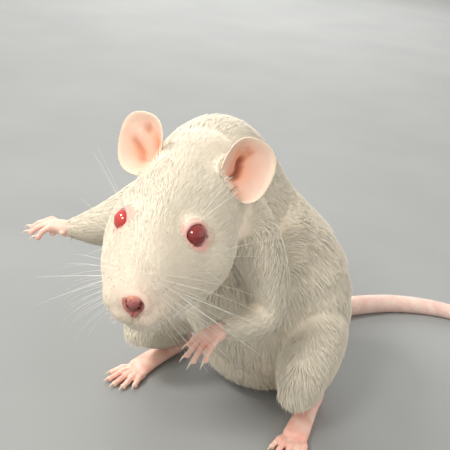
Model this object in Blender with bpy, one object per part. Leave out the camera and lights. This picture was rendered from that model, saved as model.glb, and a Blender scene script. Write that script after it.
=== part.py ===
"""A white pet rat, life size, sitting up on its haunches, with its right forepaw reached out.

The animal is shaped whole, then parted into its named pieces by thin cuts. Sizes are in millimetres and
become metres when a mesh is made. +Z is up, the body faces -Y and +X is its left. The head has a frame of
its own: x forward, y to its left, z up, from the point between the eyes.
"""
import math

import bmesh
import bpy
import numpy as np
from mathutils import Matrix, Vector

MM = 0.001

# Driving dimensions
GAP = 0.3
HEAD_PLACE = (4.7, -66.0, 95.0)
HEAD_TURN = math.radians(14.5)
HEAD_NOD = math.radians(6.0)
EYE_RADIUS = 3.45
EYE_SPREAD = 9.8
EYE_LEVEL = -0.2
EYE_WAY = (0.60, 0.74, 0.30)
EYE_OPENING = math.radians(78)
EYE_CORNER = 0.2
LID_RADIUS = 0.5
LID_LIFT = 0.25
# Each ear's middle, the reach to its tip and the reach to its outer edge, as on the left side of the head
EARS = {
    1: ((-27.3, 17.5, 7.9), (-5.9, 2.4, 7.8), (-2.9, 6.8, -4.4)),
    -1: ((-26.7, 16.2, 10.4), (-3.9, -0.2, 9.3), (-2.9, 8.1, -1.1)),
}
EAR_DEPTH = 5.2
EAR_THICKNESS = 0.9
NOSE_HALF_SIZE = (2.4, 3.2, 2.9)
# The line of the mouth in the head's frame: its level at the front, its fall to the cheek and its curve
MOUTH_LEVEL = -17.2
MOUTH_FRONT = 22.0
MOUTH_FALL = 0.04
MOUTH_CURVE = 0.012
# The sniffing nose: how far the snout's tip is drawn to the left and down, and where on its length that starts
SNOUT_SWAY = (1.3, -0.5)
SNOUT_START = 4.0
SNOUT_LENGTH = 20.0
TAIL_ROOT_RADIUS = 5.4
TAIL_TIP_RADIUS = 1.1
WHISKERS_PER_SIDE = 11
WHISKER_LENGTH = 44.0
WHISKER_RADIUS = 0.34
CLAW_LENGTH = 2.3
CLAW_RADIUS = 0.6
FORE_DIGITS = (5.4, 7.2, 7.0, 5.2)
FORE_DIGIT_RADIUS = 1.3
FORE_FAN = math.radians(46)
HIND_DIGITS = (6.4, 9.6, 10.2, 9.4, 6.0)
HIND_DIGIT_RADIUS = 1.45
HIND_FAN = math.radians(38)
HEEL = (30.0, 12.0, 2.9)
SOLE_LENGTH = 25.0

# Fineness of the shaping
VOXEL = 0.6
SMOOTH_PASSES = 9
BODY_TRIANGLES = 8800
CUT_SHARE = 0.54
RING_POINTS = 32
SEED = 5


def clear_scene():
    for found in list(bpy.data.objects):
        bpy.data.objects.remove(found)


def head_matrix():
    """Takes a point of the head's frame, in millimetres, to the body's frame."""
    forward = Vector((math.sin(HEAD_TURN), -math.cos(HEAD_TURN), 0)) * math.cos(HEAD_NOD)
    forward.z = -math.sin(HEAD_NOD)
    left = Vector((math.cos(HEAD_TURN), math.sin(HEAD_TURN), 0))
    up = forward.cross(left)
    turn = Matrix((forward, left, up)).transposed().to_4x4()
    return Matrix.Translation(HEAD_PLACE) @ turn


HEAD = head_matrix()


def in_head_frame(points):
    return (points - np.array(HEAD.translation)) @ np.array(HEAD.to_3x3())


def from_head_frame(points):
    return points @ np.array(HEAD.to_3x3()).T + np.array(HEAD.translation)


def material(name, colour, roughness):
    made = bpy.data.materials.new(name)
    made.use_nodes = True
    shader = made.node_tree.nodes["Principled BSDF"]
    shader.inputs["Base Color"].default_value = (*colour, 1)
    shader.inputs["Roughness"].default_value = roughness
    shader.inputs["Metallic"].default_value = 0
    return made


# Forms


def link(name, mesh):
    made = bpy.data.objects.new(name, mesh)
    bpy.context.scene.collection.objects.link(made)
    return made


def mesh_object(name, points, faces):
    """A mesh object from points in millimetres, with its faces pointing out."""
    mesh = bpy.data.meshes.new(name)
    mesh.from_pydata([tuple(MM * c for c in p) for p in points], [], faces)
    bm = bmesh.new()
    bm.from_mesh(mesh)
    bmesh.ops.recalc_face_normals(bm, faces=bm.faces)
    bm.to_mesh(mesh)
    bm.free()
    return link(name, mesh)


def smooth_rows(rows, steps):
    """Rows of numbers resampled on one smooth curve through them, with so many steps between neighbours."""
    rows = np.asarray(rows, float)
    ends = np.vstack([2 * rows[0] - rows[1], rows, 2 * rows[-1] - rows[-2]])
    found = []
    for i in range(len(rows) - 1):
        a, b, c, d = ends[i : i + 4]
        for t in np.arange(steps) / steps:
            bend = (2 * a - 5 * b + 4 * c - d) * t**2 + (3 * b - a - 3 * c + d) * t**3
            found.append(0.5 * (2 * b + (c - a) * t + bend))
    found.append(rows[-1])
    return np.array(found)


def skin_rings(name, rings):
    """A closed tube over rings of points, with a pole at each end."""
    rings = [np.asarray(r, float) for r in rings]
    n = len(rings[0])
    points = [rings[0].mean(0)] + [p for r in rings for p in r] + [rings[-1].mean(0)]
    last = 1 + (len(rings) - 1) * n
    faces = []
    for i in range(n):
        j = (i + 1) % n
        faces.append((0, 1 + j, 1 + i))
        faces.append((last + i, last + j, len(points) - 1))
        for k in range(len(rings) - 1):
            a, b = 1 + k * n, 1 + (k + 1) * n
            faces.append((a + i, a + j, b + j, b + i))
    return mesh_object(name, points, faces)


def tube_rings(stations, sides, steps, across):
    """Rings round (x, y, z, half width, half depth) stations, with the way along and across at each."""
    rows = smooth_rows(stations, steps)
    ways = np.gradient(rows[:, :3], axis=0)
    ways /= np.linalg.norm(ways, axis=1)[:, None]
    found = []
    for row, along in zip(rows, ways):
        wide = np.asarray(across, float) - np.dot(across, along) * along
        wide /= np.linalg.norm(wide)
        found.append((row, along, wide, np.cross(along, wide)))
    turn = 2 * np.pi * np.arange(sides) / sides

    def ring(entry, push=0.0, size=1.0):
        row, along, wide, deep = entry
        middle = row[:3] + along * push * min(row[3], row[4])
        across_part = np.outer(np.cos(turn), wide) * row[3]
        deep_part = np.outer(np.sin(turn), deep) * row[4]
        return middle + size * (across_part + deep_part)

    return found, ring


def limb(name, stations, sides=12, steps=3, across=(1, 0, 0)):
    """A rounded tube with domed ends."""
    found, ring = tube_rings(stations, sides, steps, across)
    dome = [(math.cos(a), math.sin(a)) for a in np.radians((20, 50, 75))]
    start = [ring(found[0], -push, size) for size, push in reversed(dome)]
    end = [ring(found[-1], push, size) for size, push in dome]
    return skin_rings(name, start + [ring(entry) for entry in found] + end)


def spine(name, stations, sides, steps=1):
    """A tapered tube that ends in a point, for claws and whiskers."""
    found, ring = tube_rings(stations, sides, steps, (0.1, 0.2, 1))
    rings = [ring(entry) for entry in found[:-1]]
    points = [rings[0].mean(0)] + [p for r in rings for p in r] + [found[-1][0][:3]]
    last = 1 + (len(rings) - 1) * sides
    faces = []
    for i in range(sides):
        j = (i + 1) % sides
        faces.append((0, 1 + j, 1 + i))
        faces.append((last + i, last + j, len(points) - 1))
        for k in range(len(rings) - 1):
            a, b = 1 + k * sides, 1 + (k + 1) * sides
            faces.append((a + i, a + j, b + j))
            faces.append((a + i, b + j, b + i))
    return mesh_object(name, points, faces)


def ellipsoid(name, centre, radii, tilt=0.0, frame=None, segments=28, rings=16):
    """An egg of the given half sizes, tilted about its side to side axis, in the body's or another frame."""
    bpy.ops.mesh.primitive_uv_sphere_add(segments=segments, ring_count=rings, radius=MM)
    made = bpy.context.active_object
    made.name = name
    axis = "X" if frame is None else "Y"
    place = Matrix.Translation(centre) @ Matrix.Rotation(tilt, 4, axis) @ Matrix.Diagonal((*radii, 1))
    place = (frame or Matrix.Identity(4)) @ place
    made.data.transform(Matrix.Scale(MM, 4) @ place @ Matrix.Scale(1 / MM, 4))
    return made


def blade(centre, normal, radius, frame=None, thickness=GAP):
    """A thin disc that parts two pieces."""
    bpy.ops.mesh.primitive_cylinder_add(vertices=24, radius=radius * MM, depth=thickness * MM)
    made = bpy.context.active_object
    made.name = "blade"
    centre, normal = Vector(centre), Vector(normal)
    if frame:
        centre, normal = frame @ centre, frame.to_3x3() @ normal
    turn = normal.to_track_quat("Z", "Y").to_matrix().to_4x4()
    made.data.transform(Matrix.Translation(centre * MM) @ turn)
    return made


def join(name, pieces):
    """Overlapping closed pieces as one object, not yet one surface."""
    bm = bmesh.new()
    for piece in pieces:
        bm.from_mesh(piece.data)
        bpy.data.objects.remove(piece)
    mesh = bpy.data.meshes.new(name)
    bm.to_mesh(mesh)
    bm.free()
    return link(name, mesh)


def apply_modifiers(target):
    graph = bpy.context.evaluated_depsgraph_get()
    graph.update()
    mesh = bpy.data.meshes.new_from_object(target.evaluated_get(graph))
    target.modifiers.clear()
    target.data = mesh


def boolean(target, others, operation):
    """One Boolean on a collection of closed pieces, applied, with the pieces then removed."""
    group = bpy.data.collections.new(operation)
    for other in others:
        group.objects.link(other)
    tool = target.modifiers.new(operation, "BOOLEAN")
    tool.operation = operation
    tool.operand_type = "COLLECTION"
    tool.collection = group
    tool.solver = "EXACT"
    apply_modifiers(target)
    for other in others:
        bpy.data.objects.remove(other)
    bpy.data.collections.remove(group)


def closed_surfaces(target):
    """The separate closed surfaces of an object, as lists of face indices, largest first."""
    bm = bmesh.new()
    bm.from_mesh(target.data)
    bm.faces.ensure_lookup_table()
    seen = set()
    found = []
    for start in bm.faces:
        if start.index in seen:
            continue
        seen.add(start.index)
        island, queue = [], [start]
        while queue:
            face = queue.pop()
            island.append(face.index)
            for edge in face.edges:
                for near in edge.link_faces:
                    if near.index not in seen:
                        seen.add(near.index)
                        queue.append(near)
        found.append(island)
    bm.free()
    return sorted(found, key=len, reverse=True)


def keep_surface(source, name, island):
    """A new object with only the given faces of another."""
    bm = bmesh.new()
    bm.from_mesh(source.data)
    bm.faces.ensure_lookup_table()
    wanted = set(island)
    bmesh.ops.delete(bm, geom=[f for f in bm.faces if f.index not in wanted], context="FACES")
    mesh = bpy.data.meshes.new(name)
    bm.to_mesh(mesh)
    bm.free()
    return link(name, mesh)


def keep_largest(target):
    islands = closed_surfaces(target)
    if len(islands) > 1:
        kept = keep_surface(target, "kept", islands[0])
        target.data = kept.data
        bpy.data.objects.remove(kept)


# The head


def head_loft():
    """The head's main form, from sections along its length."""
    # x, half width, top, bottom, level of the widest part, roundness of the upper and of the lower half
    sections = [
        (23.4, 3.9, -5.4, -15.4, -10.6, 2.0, 2.1),
        (21.6, 6.9, -3.4, -18.0, -11.4, 2.0, 2.2),
        (18.6, 9.4, -1.2, -19.6, -11.9, 2.0, 2.4),
        (15.0, 11.3, 1.0, -20.6, -12.0, 1.9, 2.5),
        (10.0, 13.4, 3.8, -22.2, -12.0, 1.7, 2.6),
        (5.0, 15.6, 6.3, -23.6, -12.0, 1.5, 2.5),
        (0.0, 17.4, 8.6, -24.6, -12.0, 1.36, 2.4),
        (-5.0, 19.1, 10.4, -25.2, -11.6, 1.55, 2.3),
        (-10.0, 19.6, 11.9, -25.2, -10.8, 1.68, 2.2),
        (-16.0, 19.1, 13.2, -24.9, -10.2, 1.68, 2.1),
        (-22.0, 18.0, 14.0, -24.4, -9.4, 1.65, 2.0),
        (-30.0, 17.6, 14.2, -23.4, -7.6, 1.8, 2.0),
        (-38.0, 17.0, 13.0, -21.0, -5.0, 2.0, 2.0),
    ]
    turn = 2 * np.pi * np.arange(RING_POINTS) / RING_POINTS
    rings = []
    for x, wide, top, bottom, level, above, below in smooth_rows(sections, 2):
        share = np.where(np.sin(turn) > 0, 2 / above, 2 / below)
        across = np.sign(np.cos(turn)) * np.abs(np.cos(turn)) ** share * wide
        up = np.abs(np.sin(turn)) ** share * np.where(np.sin(turn) > 0, top - level, bottom - level)
        ring = np.stack([np.full_like(turn, x), across, level + up], 1)
        rings.append(from_head_frame(ring))
    return skin_rings("head_loft", rings)


def head_forms():
    """The loft and the forms that lie over it: nose, whisker pads, lips and lower jaw."""
    jaw = [
        (0, 0, -17.6, 9.5, 6.6),
        (8, 0, -18.2, 8.0, 5.8),
        (14, 0, -18.7, 6.4, 4.4),
        (17.6, 0, -18.6, 4.6, 3.2),
    ]
    jaw = [(*(HEAD @ Vector(s[:3])), *s[3:]) for s in jaw]
    forms = [
        head_loft(),
        limb("lower_jaw", jaw, sides=18, across=tuple(HEAD.to_3x3() @ Vector((0, 1, 0)))),
        ellipsoid("nose_bridge", (13.5, 0, -4.4), (11.0, 5.6, 5.6), math.radians(23), HEAD),
        ellipsoid("nose", (23.4, 0, -8.8), NOSE_HALF_SIZE, 0, HEAD),
    ]
    for side in (-1, 1):
        forms.append(ellipsoid("whisker_pad", (16.2, side * 5.0, -12.4), (6.6, 5.4, 6.0), 0, HEAD))
        forms.append(ellipsoid("upper_lip", (20.2, side * 3.1, -14.2), (3.6, 4.1, 3.9), 0, HEAD))
        middle, out = eye_axes(side)[:2]
        forms.append(ellipsoid("eye_mound", middle - out * 1.7, (EYE_RADIUS + 0.95,) * 3, 0, HEAD))
    return forms


def eye_axes(side):
    """An eye's middle in the head's frame, the way it looks, the way to its front corner, and the way up."""
    middle = Vector((0, side * EYE_SPREAD, EYE_LEVEL))
    out = Vector((EYE_WAY[0], side * EYE_WAY[1], EYE_WAY[2])).normalized()
    ahead = Vector((1, 0, -0.45))
    ahead = (ahead - ahead.dot(out) * out).normalized()
    return middle, out, ahead, out.cross(ahead) * side


def lid_ring(side):
    """Both lids of one eye as a rim close round the ball, drawn out to a corner towards the nose."""
    middle, out, ahead, above = eye_axes(side)
    turn = 2 * np.pi * np.arange(24) / 24
    points, faces = [], []
    sides = 6
    for angle in turn:
        corner = max(0.0, math.cos(angle)) ** 6
        opening = EYE_OPENING * (1 + EYE_CORNER * corner)
        radial = ahead * math.cos(angle) + above * math.sin(angle)
        way = out * math.cos(opening) + radial * math.sin(opening)
        slope = radial * math.cos(opening) - out * math.sin(opening)
        heart = middle + way * (EYE_RADIUS + LID_LIFT)
        for b in 2 * np.pi * np.arange(sides) / sides:
            points.append(HEAD @ (heart + (way * math.cos(b) + slope * 1.25 * math.sin(b)) * LID_RADIUS))
    for k in range(len(turn)):
        for i in range(sides):
            a, b = k * sides, (k + 1) % len(turn) * sides
            faces.append((a + i, a + (i + 1) % sides, b + (i + 1) % sides, b + i))
    return mesh_object("lid_ring", points, faces)


def nostril(side):
    """The pit of one nostril, a comma that opens forward and to the side."""
    stations = [
        (21.8, side * 1.1, -8.9, 0.55, 0.5),
        (23.6, side * 1.75, -9.2, 0.8, 0.62),
        (25.6, side * 3.2, -9.0, 0.95, 0.7),
    ]
    stations = [(*(HEAD @ Vector(s[:3])), *s[3:]) for s in stations]
    across = HEAD.to_3x3() @ Vector((0.3, side, 0.2))
    return limb("nostril", stations, sides=10, steps=2, across=tuple(across))


def sway_snout(piece):
    """Draws the snout a little aside and down, more towards its tip."""
    head = in_head_frame(points_of(piece))
    share = np.clip((head[:, 0] - SNOUT_START) / SNOUT_LENGTH, 0, None) ** 2
    head[:, 1] += SNOUT_SWAY[0] * share
    head[:, 2] += SNOUT_SWAY[1] * share
    piece.data.vertices.foreach_set("co", (from_head_frame(head) * MM).ravel())
    piece.data.update()


def philtrum():
    """The split from the nose down to the upper lip."""
    stations = [
        (25.9, 0, -10.6, 0.35, 0.7),
        (25.2, 0, -12.6, 0.35, 0.9),
        (24.0, 0, -15.4, 0.4, 1.3),
        (22.6, 0, -17.6, 0.4, 1.4),
    ]
    stations = [(*(HEAD @ Vector(s[:3])), *s[3:]) for s in stations]
    return limb("philtrum", stations, sides=8, steps=1, across=tuple(HEAD.to_3x3() @ Vector((0, 1, 0))))


def mouth_blade():
    """The line of the mouth: a thin curved sheet that parts the lower jaw from the upper lip."""
    rows, columns = 9, 12
    corner, length, width = 4.0, 22.0, 30.0
    front, back = [], []
    for i in range(rows + 1):
        x = corner + length * i / rows
        for j in range(columns + 1):
            y = width * (j / columns - 0.5)
            z = MOUTH_LEVEL - MOUTH_FALL * (MOUTH_FRONT - x) + MOUTH_CURVE * y * y
            front.append(HEAD @ Vector((x, y, z + 0.5 * GAP)))
            back.append(HEAD @ Vector((x, y, z - 0.5 * GAP)))
    return sheet("mouth_blade", front, back, rows, columns)


def sheet(name, front, back, rows, columns):
    """Two like grids of points closed along their edges, split into triangles alike on both faces."""
    size = len(front)
    wide = columns + 1
    faces = []
    for i in range(rows):
        for j in range(columns):
            a, b, c, d = i * wide + j, i * wide + j + 1, (i + 1) * wide + j + 1, (i + 1) * wide + j
            faces += [(a, b, c), (a, c, d), (size + a, size + c, size + b), (size + a, size + d, size + c)]
    edge = [j for j in range(wide)] + [i * wide + columns for i in range(1, rows + 1)]
    edge += [rows * wide + j for j in range(columns - 1, -1, -1)]
    edge += [i * wide for i in range(rows - 1, 0, -1)]
    for a, b in zip(edge, edge[1:] + edge[:1]):
        faces.append((a, size + a, size + b, b))
    return mesh_object(name, front + back, faces)


# The ears


def ear_point(side, share, angle, lift):
    """A point of an ear's cup: share from its bottom to its rim, angle from its tip, lift out of its face."""
    middle, up, out = (Vector(v) for v in EARS[side])
    face = out.cross(up).normalized()
    low = up * -0.42 + out * -0.30
    rim = up * math.cos(angle) + out * math.sin(angle)
    rim *= 1 - 0.07 * math.cos(2 * angle) ** 2
    sink = EAR_DEPTH * (1 - share**1.7)
    place = middle + low * (1 - share) + rim * share - face * sink
    place += face * lift * (1 - 0.35 * share**4)
    place.y *= side
    return HEAD @ place


def ear_hollow(side):
    """The space of one ear, with a gap behind it and the mouth of its cup, taken out of the head."""
    rings, around, clear = 5, 22, 1.035
    points = [ear_point(side, 0, 0, -EAR_THICKNESS - GAP)]
    turn = [2 * math.pi * i / around for i in range(around)]
    for k in range(1, rings + 1):
        points += [ear_point(side, clear * k / rings, a, -EAR_THICKNESS - GAP) for a in turn]
    points += [ear_point(side, clear * 1.02, a, 2.2) for a in turn]
    points += [ear_point(side, 0.6, a, EAR_DEPTH * 0.42 + 2.4) for a in turn]
    points.append(ear_point(side, 0, 0, EAR_DEPTH + 2.4))
    last = 1 + (rings + 1) * around
    faces = []
    for i in range(around):
        j = (i + 1) % around
        faces += [(0, 1 + i, 1 + j), (len(points) - 1, last + i, last + j)]
        for k in range(rings + 1):
            a, b = 1 + k * around, 1 + (k + 1) * around
            faces.append((a + i, a + j, b + j, b + i))
    return mesh_object("ear_hollow", points, faces)


def ear(side):
    """One ear as a thin cupped shell."""
    rings, around = 8, 24
    points, faces = [], []
    for lift in (0.0, -EAR_THICKNESS):
        points.append(ear_point(side, 0, 0, lift))
        for k in range(1, rings + 1):
            points += [ear_point(side, k / rings, 2 * math.pi * i / around, lift) for i in range(around)]
    size = 1 + rings * around
    for i in range(around):
        j = (i + 1) % around
        faces += [(0, 1 + i, 1 + j), (size, size + 1 + j, size + 1 + i)]
        for k in range(rings - 1):
            a, b = 1 + k * around, 1 + (k + 1) * around
            faces += [(a + i, b + i, b + j), (a + i, b + j, a + j)]
            faces += [(size + a + i, size + b + j, size + b + i), (size + a + i, size + a + j, size + b + j)]
        rim = 1 + (rings - 1) * around
        faces += [(rim + i, size + rim + i, size + rim + j), (rim + i, size + rim + j, rim + j)]
    return mesh_object("ear", points, faces)


# The trunk, limbs and tail


def trunk():
    """Neck, chest, belly and rump along one bowed spine, which leans to the side of the reaching arm."""
    stations = [
        (2, -50, 93, 16.5, 16.0),
        (-1, -40, 93.5, 16.5, 18.0),
        (-6, -27, 92.5, 17.0, 20.0),
        (-10, -12, 88.5, 18.0, 22.5),
        (-11, 0, 78.5, 19.5, 25.0),
        (-9, 9, 64, 22.0, 28.0),
        (1, 13, 47, 31.5, 31.0),
        (3.5, 14, 30, 33.5, 29.0),
        (1, 15, 17.8, 26.0, 22.0),
    ]
    found, ring = tube_rings(stations, 36, 3, (1, 0, 0))
    start = [ring(found[0], -0.5, 0.8), ring(found[0], -0.3, 0.93)]
    dome = ((0.3, 0.93), (0.55, 0.78), (0.75, 0.52), (0.83, 0.25))
    end = [ring(found[-1], push, size) for push, size in dome]
    return skin_rings("trunk", start + [ring(entry) for entry in found] + end)


RIGHT_ARM = [
    (-9, -24, 86, 13.0, 15.0),
    (-19, -30, 81, 11.5, 13.6),
    (-27, -35.5, 76.6, 9.0, 10.8),
    (-33.5, -40.5, 73.9, 6.4, 7.8),
    (-39.5, -45, 72.8, 4.1, 4.6),
    (-42.3, -46.8, 72.6, 3.1, 3.2),
]
RIGHT_PAW_AIM = (-0.86, -0.50, 0.06)
RIGHT_PAW_FALL = 2.4
LEFT_ARM = [
    (6, -24, 83, 11.5, 13.5),
    (15, -25.5, 75, 10.0, 11.0),
    (22, -27.5, 65, 8.0, 8.6),
    (24.5, -32, 58.5, 6.4, 6.6),
    (22.5, -39, 57.0, 5.0, 5.0),
    (18.5, -45.5, 57.6, 3.5, 3.3),
    (17.4, -47.2, 57.8, 3.0, 2.8),
]
LEFT_PAW_AIM = (-0.38, -0.66, -0.50)
LEFT_PAW_FALL = 1.6
ARMS = {"right": (RIGHT_ARM, RIGHT_PAW_AIM, RIGHT_PAW_FALL), "left": (LEFT_ARM, LEFT_PAW_AIM, LEFT_PAW_FALL)}


def haunch(side):
    """The thigh, folded against the flank with its knee forward."""
    stations = [
        (side * 20, 22, 30, 13, 17),
        (side * 26, 11, 30, 13, 18.5),
        (side * 30.5, -2, 29, 11, 16.5),
        (side * 32.5, -13, 26, 8.5, 11.5),
    ]
    return limb("haunch", stations, sides=20)


def shank(side):
    """The lower leg, from the knee down and back to the heel."""
    stations = [
        (side * 32.5, -14, 24, 7.5, 9.0),
        (side * 32, -6, 17, 6.4, 8.0),
        (side * 31, 4, 10.5, 5.0, 6.0),
        (side * 30, 11, 6.2, 4.0, 4.2),
    ]
    return limb("shank", stations, sides=16)


def tail_path():
    """The tail's middle line and radius, down from the rump and then along the floor in one long sweep."""
    return [
        (0, 34, 15.0, 8.6),
        (0.5, 43, 8.8, 6.6),
        (2, 52, 5.2, TAIL_ROOT_RADIUS),
        (6, 65, 4.4, 4.8),
        (15, 82, 3.9, 4.3),
        (31, 99, 3.4, 3.8),
        (52, 109, 2.9, 3.3),
        (75, 109, 2.35, 2.75),
        (95, 99, 1.8, 2.2),
        (108, 83, 1.3, 1.7),
        (113, 67, 0.95, 1.35),
        (112, 55, 0.75, TAIL_TIP_RADIUS),
    ]


TAIL_CUTS = (1.0, 2.75, 4.75, 6.75, 8.75)
TAIL_STEPS = 4


def tail():
    stations = [(x, y, z, r, r) for x, y, z, r in tail_path()]
    return limb("tail", stations, sides=18, steps=TAIL_STEPS, across=(1, 0.3, 0))


def digit(root, aim, length, radius, rise, fall):
    """One toe or finger: out from its root, arched by rise, and down by fall to a padded tip."""
    up = Vector((0, 0, 1))
    stations = [
        (*(root - aim * radius), radius * 1.1, radius * 1.05),
        (*(root + aim * length * 0.35 + up * rise), radius, radius),
        (*(root + aim * length * 0.7 + up * (rise * 0.5 - fall * 0.35)), radius * 0.85, radius * 0.85),
        (*(root + aim * length - up * fall), radius * 0.95, radius * 0.92),
    ]
    return limb("digit", stations, sides=10, steps=2, across=(aim.y, -aim.x, 0))


def claw(root, aim, drop):
    """A curved, tapered claw on a digit's tip."""
    down = Vector((0, 0, -1))
    stations = [
        (*(root - aim * 1.0), CLAW_RADIUS, CLAW_RADIUS),
        (*(root + aim * CLAW_LENGTH * 0.5 + down * drop * 0.25), CLAW_RADIUS * 0.75, CLAW_RADIUS * 0.8),
        (*(root + aim * CLAW_LENGTH + down * drop), 0.1, 0.1),
    ]
    return spine("claw", stations, 6)


def paw(wrist, aim, fan, lengths, radius, palm, rise, fall, drop):
    """A palm with its digits fanned out. Returns its flesh, and its claws."""
    wrist, aim = Vector(wrist), Vector(aim).normalized()
    aside = Vector((-aim.y, aim.x, 0)).normalized()
    length, wide, thick = palm
    stations = [
        (*(wrist - aim * 2.0), wide * 0.40, thick * 0.55),
        (*(wrist + aim * length * 0.5), wide * 0.5, thick * 0.5),
        (*(wrist + aim * length), wide * 0.5, thick * 0.46),
    ]
    flesh = [limb("palm", stations, sides=14, across=tuple(aside))]
    claws = []
    for i, size in enumerate(lengths):
        share = i / (len(lengths) - 1) - 0.5
        way = (aim * math.cos(share * fan) + aside * math.sin(share * fan)).normalized()
        root = wrist + aim * length * (1.0 - 0.35 * abs(share)) + aside * share * (wide - radius * 1.2)
        flesh.append(digit(root, way, size, radius, rise, fall))
        tip = root + way * (size + radius * 0.6) - Vector((0, 0, fall))
        claws.append(claw(tip, way, drop))
    return flesh, claws


def forepaw(arm, aim, fall):
    palm = (5.4, 7.0, 4.6)
    return paw(arm[-1][:3], aim, FORE_FAN, FORE_DIGITS, FORE_DIGIT_RADIUS, palm, 0.6, fall, 1.2)


def hind_foot(side):
    heel = Vector((side * HEEL[0], *HEEL[1:]))
    aim = Vector((side * 0.16, -1, 0)).normalized()
    ball = heel + aim * SOLE_LENGTH
    stations = [
        (*heel, 3.5, 3.3),
        (*(heel + aim * 9), 3.7, 3.1),
        (*(heel + aim * 18), 4.3, 2.9),
        (ball.x, ball.y, 2.25, 4.8, 2.55),
    ]
    sole = limb("sole", stations, sides=16)
    root = (ball.x, ball.y, 1.25)
    palm = (3.0, 9.6, 4.0)
    flesh, claws = paw(root, aim, HIND_FAN, HIND_DIGITS, HIND_DIGIT_RADIUS, palm, 0.6, 0.0, 0.5)
    return [sole] + flesh, claws


# Whiskers


def whiskers(side, random):
    """Long whiskers in rows on one whisker pad, sweeping out, back and a little down."""
    found = []
    for k in range(WHISKERS_PER_SIDE):
        row, place = k % 4, k // 4
        root = Vector((19.0 - 3.0 * place - 0.5 * row, side * (6.6 + 1.15 * place), -9.1 - 1.35 * row))
        length = WHISKER_LENGTH * (0.62 + 0.19 * place) * random.uniform(0.9, 1.05)
        lift = 0.16 - 0.22 * row + random.uniform(-0.05, 0.05)
        aim = Vector((0.30 - 0.22 * place, side, lift)).normalized()
        bend = Vector((-0.34, side * -0.05, -0.20))
        stations = []
        for share in (-0.06, 0.2, 0.45, 0.72, 1.0):
            place_on = root + aim * length * share + bend * length * max(0.0, share) ** 2
            radius = WHISKER_RADIUS * (1 - 0.62 * max(0.0, share))
            stations.append((*(HEAD @ place_on), radius, radius))
        found.append(spine("whisker", stations, 3))
    return found


# Shaping the whole


def weld_whole(pieces):
    """All flesh as one smooth surface: overlapping forms fused on a fine grid, their creases softened."""
    body = join("body", pieces)
    grid = body.modifiers.new("grid", "REMESH")
    grid.mode = "VOXEL"
    grid.voxel_size = VOXEL * MM
    apply_modifiers(body)
    soften = body.vertex_groups.new(name="soften")
    for value, members in softness(body).items():
        soften.add(members, value, "REPLACE")
    smooth = body.modifiers.new("smooth", "SMOOTH")
    smooth.factor = 0.5
    smooth.iterations = SMOOTH_PASSES
    smooth.vertex_group = "soften"
    apply_modifiers(body)
    body.vertex_groups.clear()
    thin = body.modifiers.new("thin", "DECIMATE")
    thin.ratio = BODY_TRIANGLES / (2 * len(body.data.polygons))
    apply_modifiers(body)
    keep_largest(body)
    return body


def points_of(target):
    points = np.empty(len(target.data.vertices) * 3)
    target.data.vertices.foreach_get("co", points)
    return points.reshape(-1, 3) / MM


def softness(body):
    """Vertices sorted by how far they are softened: fully on the trunk, little on the feet."""
    points = points_of(body)
    ahead = in_head_frame(points)[:, 0]
    share = np.full(len(points), 1.0)
    share[(ahead > -12) & (points[:, 2] > 70)] = 0.6
    share[(ahead > 14) & (points[:, 2] > 70)] = 0.35
    share[points[:, 2] < 6] = 0.12
    share[(points[:, 1] > 50) & (points[:, 2] < 12)] = 0.2
    for arm in (RIGHT_ARM, LEFT_ARM):
        share[np.linalg.norm(points - np.array(arm[-1][:3]), axis=1) < 15] = 0.2
    return {float(v): np.flatnonzero(share == v).tolist() for v in np.unique(share)}


# Parting the whole


def floor_block():
    """All that lies below the floor, cut away so that soles, rump and tail rest on small flats."""
    bpy.ops.mesh.primitive_cube_add(size=1)
    made = bpy.context.active_object
    made.data.transform(Matrix.Diagonal((0.5, 0.5, 0.05, 1)))
    made.data.transform(Matrix.Translation((0, 0.05, -0.025)))
    return made


def leg_cell(side, grow=0.0):
    """The space of one hind leg and foot: a block outside the flank, with a round top over the haunch."""
    inner, outer = 24.0 - grow, 55.0
    turn = np.linspace(math.radians(196), math.radians(-16), 26)
    arch = [(-0.5 + (27.5 + grow) * math.cos(a), 29 + (21.5 + grow) * math.sin(a)) for a in turn]
    outline = [(-46 - grow, -4), (-46 - grow, 8 + grow)] + arch + [(26 + grow, 8), (26 + grow, -4)]
    n = len(outline)
    points = [(side * x, y, z) for x in (inner, outer) for y, z in outline]
    faces = [tuple(range(n)), tuple(range(2 * n - 1, n - 1, -1))]
    faces += [(i, (i + 1) % n, n + (i + 1) % n, n + i) for i in range(n)]
    return mesh_object("leg_cell", points, faces)


def arm_cell(arm, aim, fall, grow=0.0):
    """The space of one arm and paw, from a round shoulder outwards."""
    far = Vector(arm[-1][:3]) + Vector(aim).normalized() * 22 - Vector((0, 0, fall))
    stations = [(*s[:3], s[3] + 2.5 + grow, s[4] + 2.5 + grow) for s in arm[1:-1]]
    stations.append((*far, 12 + grow, 12 + grow))
    return limb("arm_cell", stations, sides=22)


def take(body, cell, *place):
    """Takes the flesh inside a cell out of the body as a piece of its own."""
    piece = link("piece", body.data.copy())
    boolean(piece, [cell(*place)], "INTERSECT")
    boolean(body, [cell(*place, grow=GAP)], "DIFFERENCE")
    keep_largest(piece)
    return piece


def split(target, blades, labels):
    """Parts an object with blades, and names each piece by the label point nearest to its middle."""
    boolean(target, blades, "DIFFERENCE")
    islands = closed_surfaces(target)[: len(labels)]
    free = dict(labels)
    pieces = {}
    for island in islands:
        piece = keep_surface(target, "piece", island)
        middle = points_of(piece).mean(0)
        name = min(free, key=lambda n: np.linalg.norm(middle - np.array(free[n])))
        del free[name]
        piece.name = name
        piece.data.name = name
        pieces[name] = piece
    bpy.data.objects.remove(target)
    return pieces


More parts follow.
